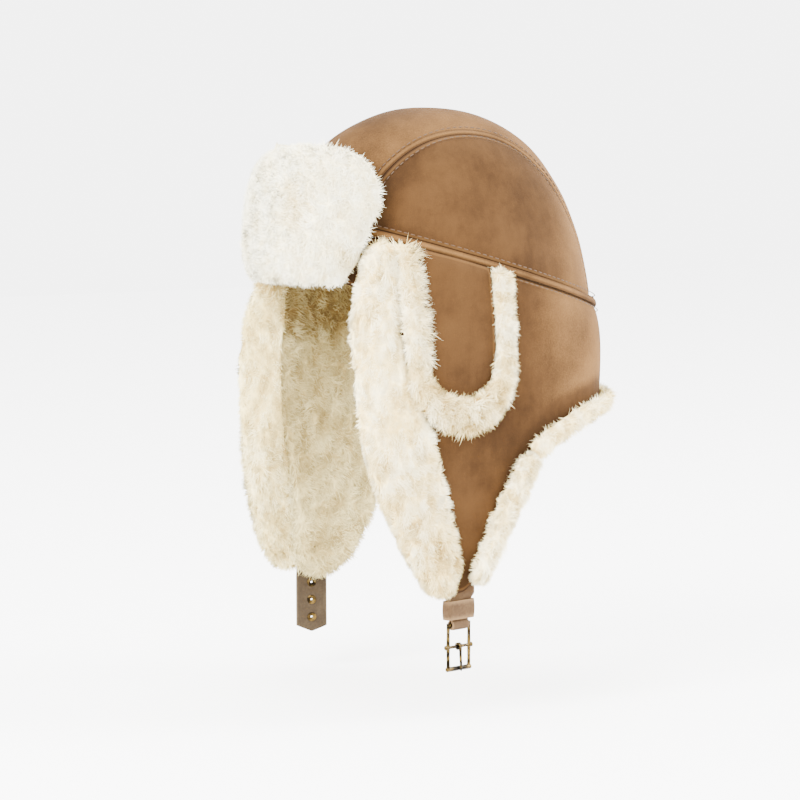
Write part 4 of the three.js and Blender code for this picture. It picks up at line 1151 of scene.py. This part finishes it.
def eyelet(name, level):
    # a rolled ring on each face, joined by a barrel through the hole: a closed profile of
    # distances from the hole's axis and from the strap's middle, turned about that axis
    face, hole = strapSettings["freeThickness"] / 2, strapSettings["hole"]
    half = np.array([(0.75, face + 0.1), (1.4, face + 0.5), (hole + 0.5, face + 0.6),
                     (hole + 0.95, face + 0.25), (hole + 0.9, face + 0.02), (hole - 0.05, face - 0.05)])
    profile = np.concatenate([half, half[::-1] * np.array([1, -1])])[None]
    radius, depth = profile[..., 0], profile[..., 1]
    turn = (np.arange(32) * 2 * math.pi / 32)[:, None]
    rings = np.stack([depth + bowAt(level) + 0 * turn, radius * np.cos(turn),
                      level + radius * np.sin(turn)], -1)
    points = turned(rings, freeAngle, -strapPlace[0], strapPlace[1])
    faces = gridFaces(*rings.shape[:2], True, True)
    return makeMesh(name, points, faces, {"wear": np.zeros(rings[..., 0].size)}, 60)


def buckleStrap():
    # doubled: down one layer, flat, round the heel bar and up the other. Across its width the
    # outer line sinks a little at both edges.
    s = strapSettings
    bore, apart = s["bar"] + hat["gap"], 0.12
    loop = bore + hat["suede"]
    meet = math.asin(hat["suede"] / loop)
    arc = np.linspace(math.pi / 2 + meet, 5 * math.pi / 2 - meet, 40)
    upper = np.linspace(strapTop, heelBar + loop * math.cos(meet), 30)

    def route(off, radius):
        down = np.stack([np.full(len(upper), -off), upper], -1)
        bend = np.stack([radius * np.cos(arc), heelBar + radius * np.sin(arc)], -1)
        return np.concatenate([down[:-1], bend, (down[::-1] * np.array([-1, 1]))[1:]])[None]

    across = np.linspace(-1, 1, 17)[:, None]
    edge = np.abs(across) ** 8
    outer = mix(route(hat["suede"], loop), route(apart, bore), 0.35 * edge[..., None])
    inner = np.broadcast_to(route(apart, bore), outer.shape)

    def lift(flat):
        level = flat[..., 1]
        narrow = np.clip((keeperTop - level) / (keeperTop - keeperFoot), 0, 1)
        half = mix(s["width"], s["loopWidth"], narrow) / 2
        points = np.stack([flat[..., 0], across * half, level], -1)
        twist = twistAt(level, sewnTurn - strapTurn, 0.0, -hat["flapDrop"], keeperTop)
        return turned(points, strapTurn + twist, *strapPlace)

    wear = np.broadcast_to(edge * 0.9, outer.shape[:2])
    piece = shell("buckleStrap", lift(outer), lift(inner), attributes={"wear": wear}, sharp=40)
    finishPiece(piece, strapFinish)


def keeper():
    # a band of leather round the strap: a square with round corners, bulging in the middle
    s = strapSettings
    turn = np.radians(np.arange(0, 360, 9))[:, None]
    z = np.linspace(keeperFoot, keeperTop, 12)[None]
    arch = np.sin(math.pi * np.linspace(0, 1, 12))[None]

    def band(wall):
        depth, width = hat["suede"] + hat["gap"] + wall, s["width"] / 2 + hat["gap"] + wall
        return onBuckle(np.stack([power(np.cos(turn), s["keeperCorner"]) * depth,
                                  power(np.sin(turn), s["keeperCorner"]) * width, z + 0 * turn], -1))

    wear = np.broadcast_to(1 - arch, (len(turn), arch.size))
    wall = s["keeperWall"] + s["keeperBulge"] * arch
    piece = shell("strapKeeper", band(wall), band(0 * wall), True, {"wear": wear}, 40)
    finishPiece(piece, strapFinish)


def buckleBar(name, radius, reach, z, knob=0.0):
    # a round bar across the strap whose ends are rounded, with a knob near each end if asked
    y = np.concatenate([[-1, -0.985, -0.95], np.linspace(-0.9, 0.9, 15), [0.95, 0.985, 1]]) * reach
    end = np.abs(y) / reach
    size = radius * np.sqrt(np.clip(1 - ((end - 0.94) / 0.062) ** 2 * (end > 0.94), 0.02, 1))
    size = size + knob * np.exp(-((np.abs(y) - reach * 0.95) / 1.1) ** 2)
    return roundTube(name, onBuckle(np.stack([0 * y, y, 0 * y + z], -1)), size)


def buckleFrame():
    s = strapSettings
    reach = s["loopWidth"] / 2 + hat["gap"] + s["railPlay"] + s["rail"]
    parts = [buckleBar("heel", s["bar"], reach, heelBar),
             buckleBar("end", s["bar"] * s["endBar"], reach + s["rail"] + s["endReach"], endBar),
             buckleBar("pin", s["pin"], reach + s["overhang"], pinZ, s["knob"])]
    share = np.linspace(0, 1, 24)
    z = mix(heelBar + s["rail"], endBar - s["rail"] * 0.4, share)
    bulge = 0.18 * np.sin(math.pi * share)
    size = s["rail"] * (1 - 0.12 * np.sin(2 * math.pi * share) ** 2)
    for side in (-1, 1):
        path = np.stack([0 * z, side * (reach + bulge), z], -1)
        parts.append(roundTube("rail", onBuckle(path), size))
    finishPiece(joinPieces("buckleFrame", parts), brassFinish, "frame")


def prong():
    # an eye round the pin and a flat tapering shank that rests on the end bar
    s = strapSettings
    bore, half, side = s["pin"] + hat["gap"], s["prongWidth"] / 2, np.array([0, 1.0, 0])
    eye = bore + s["prongWall"]
    turn = np.radians(np.linspace(0, 360, 33)[:-1])
    ringOut, ringIn = (np.stack([r * np.cos(turn), 0 * turn, pinZ + r * np.sin(turn)], -1)
                       for r in (eye, bore))
    ends = ((-1, 0.25), (-0.8, 0), (0.8, 0), (1, 0.25))
    outGrid = np.stack([mix(ringOut, ringIn, drop) + side * end * half for end, drop in ends], 1)
    inGrid = np.stack([ringIn + side * end * half for end, _ in ends], 1)
    ring = shell("prongEye", onBuckle(outGrid), onBuckle(inGrid), True, sharp=40)
    rest = s["bar"] * s["endBar"] + hat["gap"] + s["prongWall"] / 2
    t = np.linspace(0, 1, 20)
    path = np.stack([mix(eye * 0.75, rest, ease(t)), 0 * t,
                     mix(pinZ - eye * 0.6, endBar - s["prongTip"], t)], -1)
    wide = np.interp(t, [0, 0.8, 0.95, 1], np.array([1, 0.8, 0.6, 0.25]) * half)[:, None]
    thick = np.interp(t, [0, 0.85, 1], np.array([0.62, 0.5, 0.3]) * s["prongWall"])[:, None]
    around = np.radians(np.arange(0, 360, 30))[None]
    offset = np.stack([np.sin(around) * thick, np.cos(around) * wide, 0 * around * wide], -1)
    shank = closedTube("prongShank", onBuckle(path[:, None] + offset), np.zeros(offset.shape[:2]))
    finishPiece(joinPieces("buckleProng", [ring, shank]), brassFinish, "prong")


freeStrap()
buckleStrap()
keeper()
buckleFrame()
prong()
print("straps and buckle made")


stitchSettings = dict(length=2.9, radius=0.33, pitch=1.45, sunk=0.45, beside=2.6, besideStrip=3.2,
                      aboveSeam=0.9, belowSeam=0.55, onDome=0.5, rowTurns=(73.6, 76.9), rowZ=-138,
                      rowOut=1.2, rowDrops=(-0.5, 0, 0.5))


def stitchRow(points, normals):
    # small rounded stitches along a line of points: each is a six-sided spindle
    s = stitchSettings
    run = lengthAlong(points)
    count = int(run[-1] / (s["length"] * s["pitch"]))
    at = (np.arange(count) + 0.5) * run[-1] / count
    read = lambda values, where: np.stack([np.interp(where, run, values[:, k]) for k in range(3)], -1)
    centre, up = read(points, at)[:, None, None], unit(read(normals, at))[:, None, None]
    ahead = unit(read(points, at + 0.5) - read(points, at - 0.5))[:, None, None]
    side = np.cross(ahead, up)
    place = (np.array([-0.5, -0.36, 0, 0.36, 0.5]) * s["length"])[None, :, None, None]
    size = (np.array([0.25, 0.85, 1.0, 0.85, 0.25]) * s["radius"])[None, :, None, None]
    turn = (np.arange(6) * math.pi / 3)[None, None, :, None]
    rings = (centre + ahead * place + (side * np.cos(turn) + up * np.sin(turn)) * size
             + up * s["radius"] * s["sunk"])
    base = np.arange(count)[:, None, None] * 30
    quads = (base + gridFaces(5, 6, False, True)[None]).reshape(-1, 4)
    caps = (np.arange(6), np.arange(24, 30)[::-1])
    hexes = np.concatenate([(base + cap[None, None]).reshape(-1, 6) for cap in caps])
    return rings.reshape(-1, 3), quads, hexes


def stitches():
    s = stitchSettings
    lines = []
    turn = np.linspace(0.0, 2 * math.pi, 900)
    for rise, out in ((s["beside"], s["aboveSeam"]), (-hat["weltHeight"] - s["beside"], s["belowSeam"])):
        z = seamAtTurn(turn) + rise
        lines.append((skin(turn, z, -out), skinNormal(turn, z)))
    size = np.array([hat["halfWidth"], hat["halfLength"], domeHeight])
    for side in (-1, 1):
        for shift in (-s["besideStrip"], s["besideStrip"]):
            way = domeLine(side * (hat["stripHalf"] + shift), 900)
            way = way[way[:, 2] > seamZ(way[:, 1]) + 3]
            out = unit((way - domeMiddle) / size ** 2)
            lines.append((way - out * s["onDome"], out))
    # a short row of close stitches on the left flap
    turn = np.radians(np.linspace(*s["rowTurns"], 12))
    for drop in s["rowDrops"]:
        z = np.full(12, s["rowZ"] + drop)
        lines.append((skin(turn, z, -s["rowOut"]), skinNormal(turn, z - drop)))
    rows = [stitchRow(*line) for line in lines]
    starts = np.cumsum([0] + [len(points) for points, _, _ in rows])
    quads = np.concatenate([quads + start for (_, quads, _), start in zip(rows, starts)])
    hexes = np.concatenate([hexes + start for (_, _, hexes), start in zip(rows, starts)])
    piece = makeMesh("stitches", np.concatenate([points for points, _, _ in rows]), [quads, hexes])
    finishPiece(piece, threadFinish, replaces=False)


stitches()
print("stitches made")


# metres, and for each lamp its name, place, size and power in watts
stageSettings = dict(floor=-0.262, floorSize=6.0, sky=5.6, aim=(0, 0, -0.05),
                     lamps=[("keyLight", (0.8, -1.9, 1.3), 1.4, 260.0),
                            ("rearLight", (0.9, 2.0, 0.9), 1.2, 170.0),
                            ("topLight", (0.2, 0.2, 1.9), 1.6, 60.0)])
viewSettings = dict(azimuth=60.5, elevation=6.0, distance=2500.0, pixelsPerMillimetre=1.59,
                    originPixel=(427.0, 368.0), drop=60.0, picture=800, sensor=36.0, far=20)


def aim(thing, way):
    thing.rotation_euler = way.to_track_quat("-Z", "Y").to_euler()
    bpy.context.scene.collection.objects.link(thing)


def staging():
    s = stageSettings
    bpy.ops.mesh.primitive_plane_add(size=s["floorSize"], location=(0, 0, s["floor"]))
    floor = bpy.context.object
    floor.name = "floor"
    paper = Shader("floorPaper", Roughness=0.9)
    floor.data.materials.append(paper.set(Base_Color=(0.94, 0.94, 0.94, 1)))
    world = bpy.data.worlds.new("studio")
    bpy.context.scene.world = world
    world.use_nodes = True
    sky = world.node_tree.nodes["Background"].inputs
    sky["Color"].default_value, sky["Strength"].default_value = (1.0, 1.0, 1.0, 1), s["sky"]
    for name, place, size, energy in s["lamps"]:
        light = bpy.data.lights.new(name, "AREA")
        light.energy, light.size = energy, size
        lamp = bpy.data.objects.new(name, light)
        lamp.location = place
        aim(lamp, Vector(s["aim"]) - Vector(place))


def camera():
    # the fit's origin lies drop below the brow and is seen at originPixel of a square picture
    v = viewSettings
    a, e = math.radians(v["azimuth"]), math.radians(v["elevation"])
    back = np.array([math.sin(a) * math.cos(e), -math.cos(a) * math.cos(e), math.sin(e)])
    right = np.array([math.cos(a), math.sin(a), 0])
    offX, offY = (v["picture"] / 2 - np.array(v["originPixel"])) / v["pixelsPerMillimetre"]
    target = np.array([0, 0, -v["drop"]]) + right * offX - np.cross(back, right) * offY
    lens = bpy.data.cameras.new("camera")
    lens.sensor_width = v["sensor"]
    lens.lens = v["pixelsPerMillimetre"] * v["distance"] / v["picture"] * v["sensor"]
    lens.clip_end = v["far"]
    eye = bpy.data.objects.new("camera", lens)
    eye.location = (target + back * v["distance"]) * mm
    aim(eye, Vector(-back))
    bpy.context.scene.camera = eye


staging()
camera()
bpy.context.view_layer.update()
print("scene made")
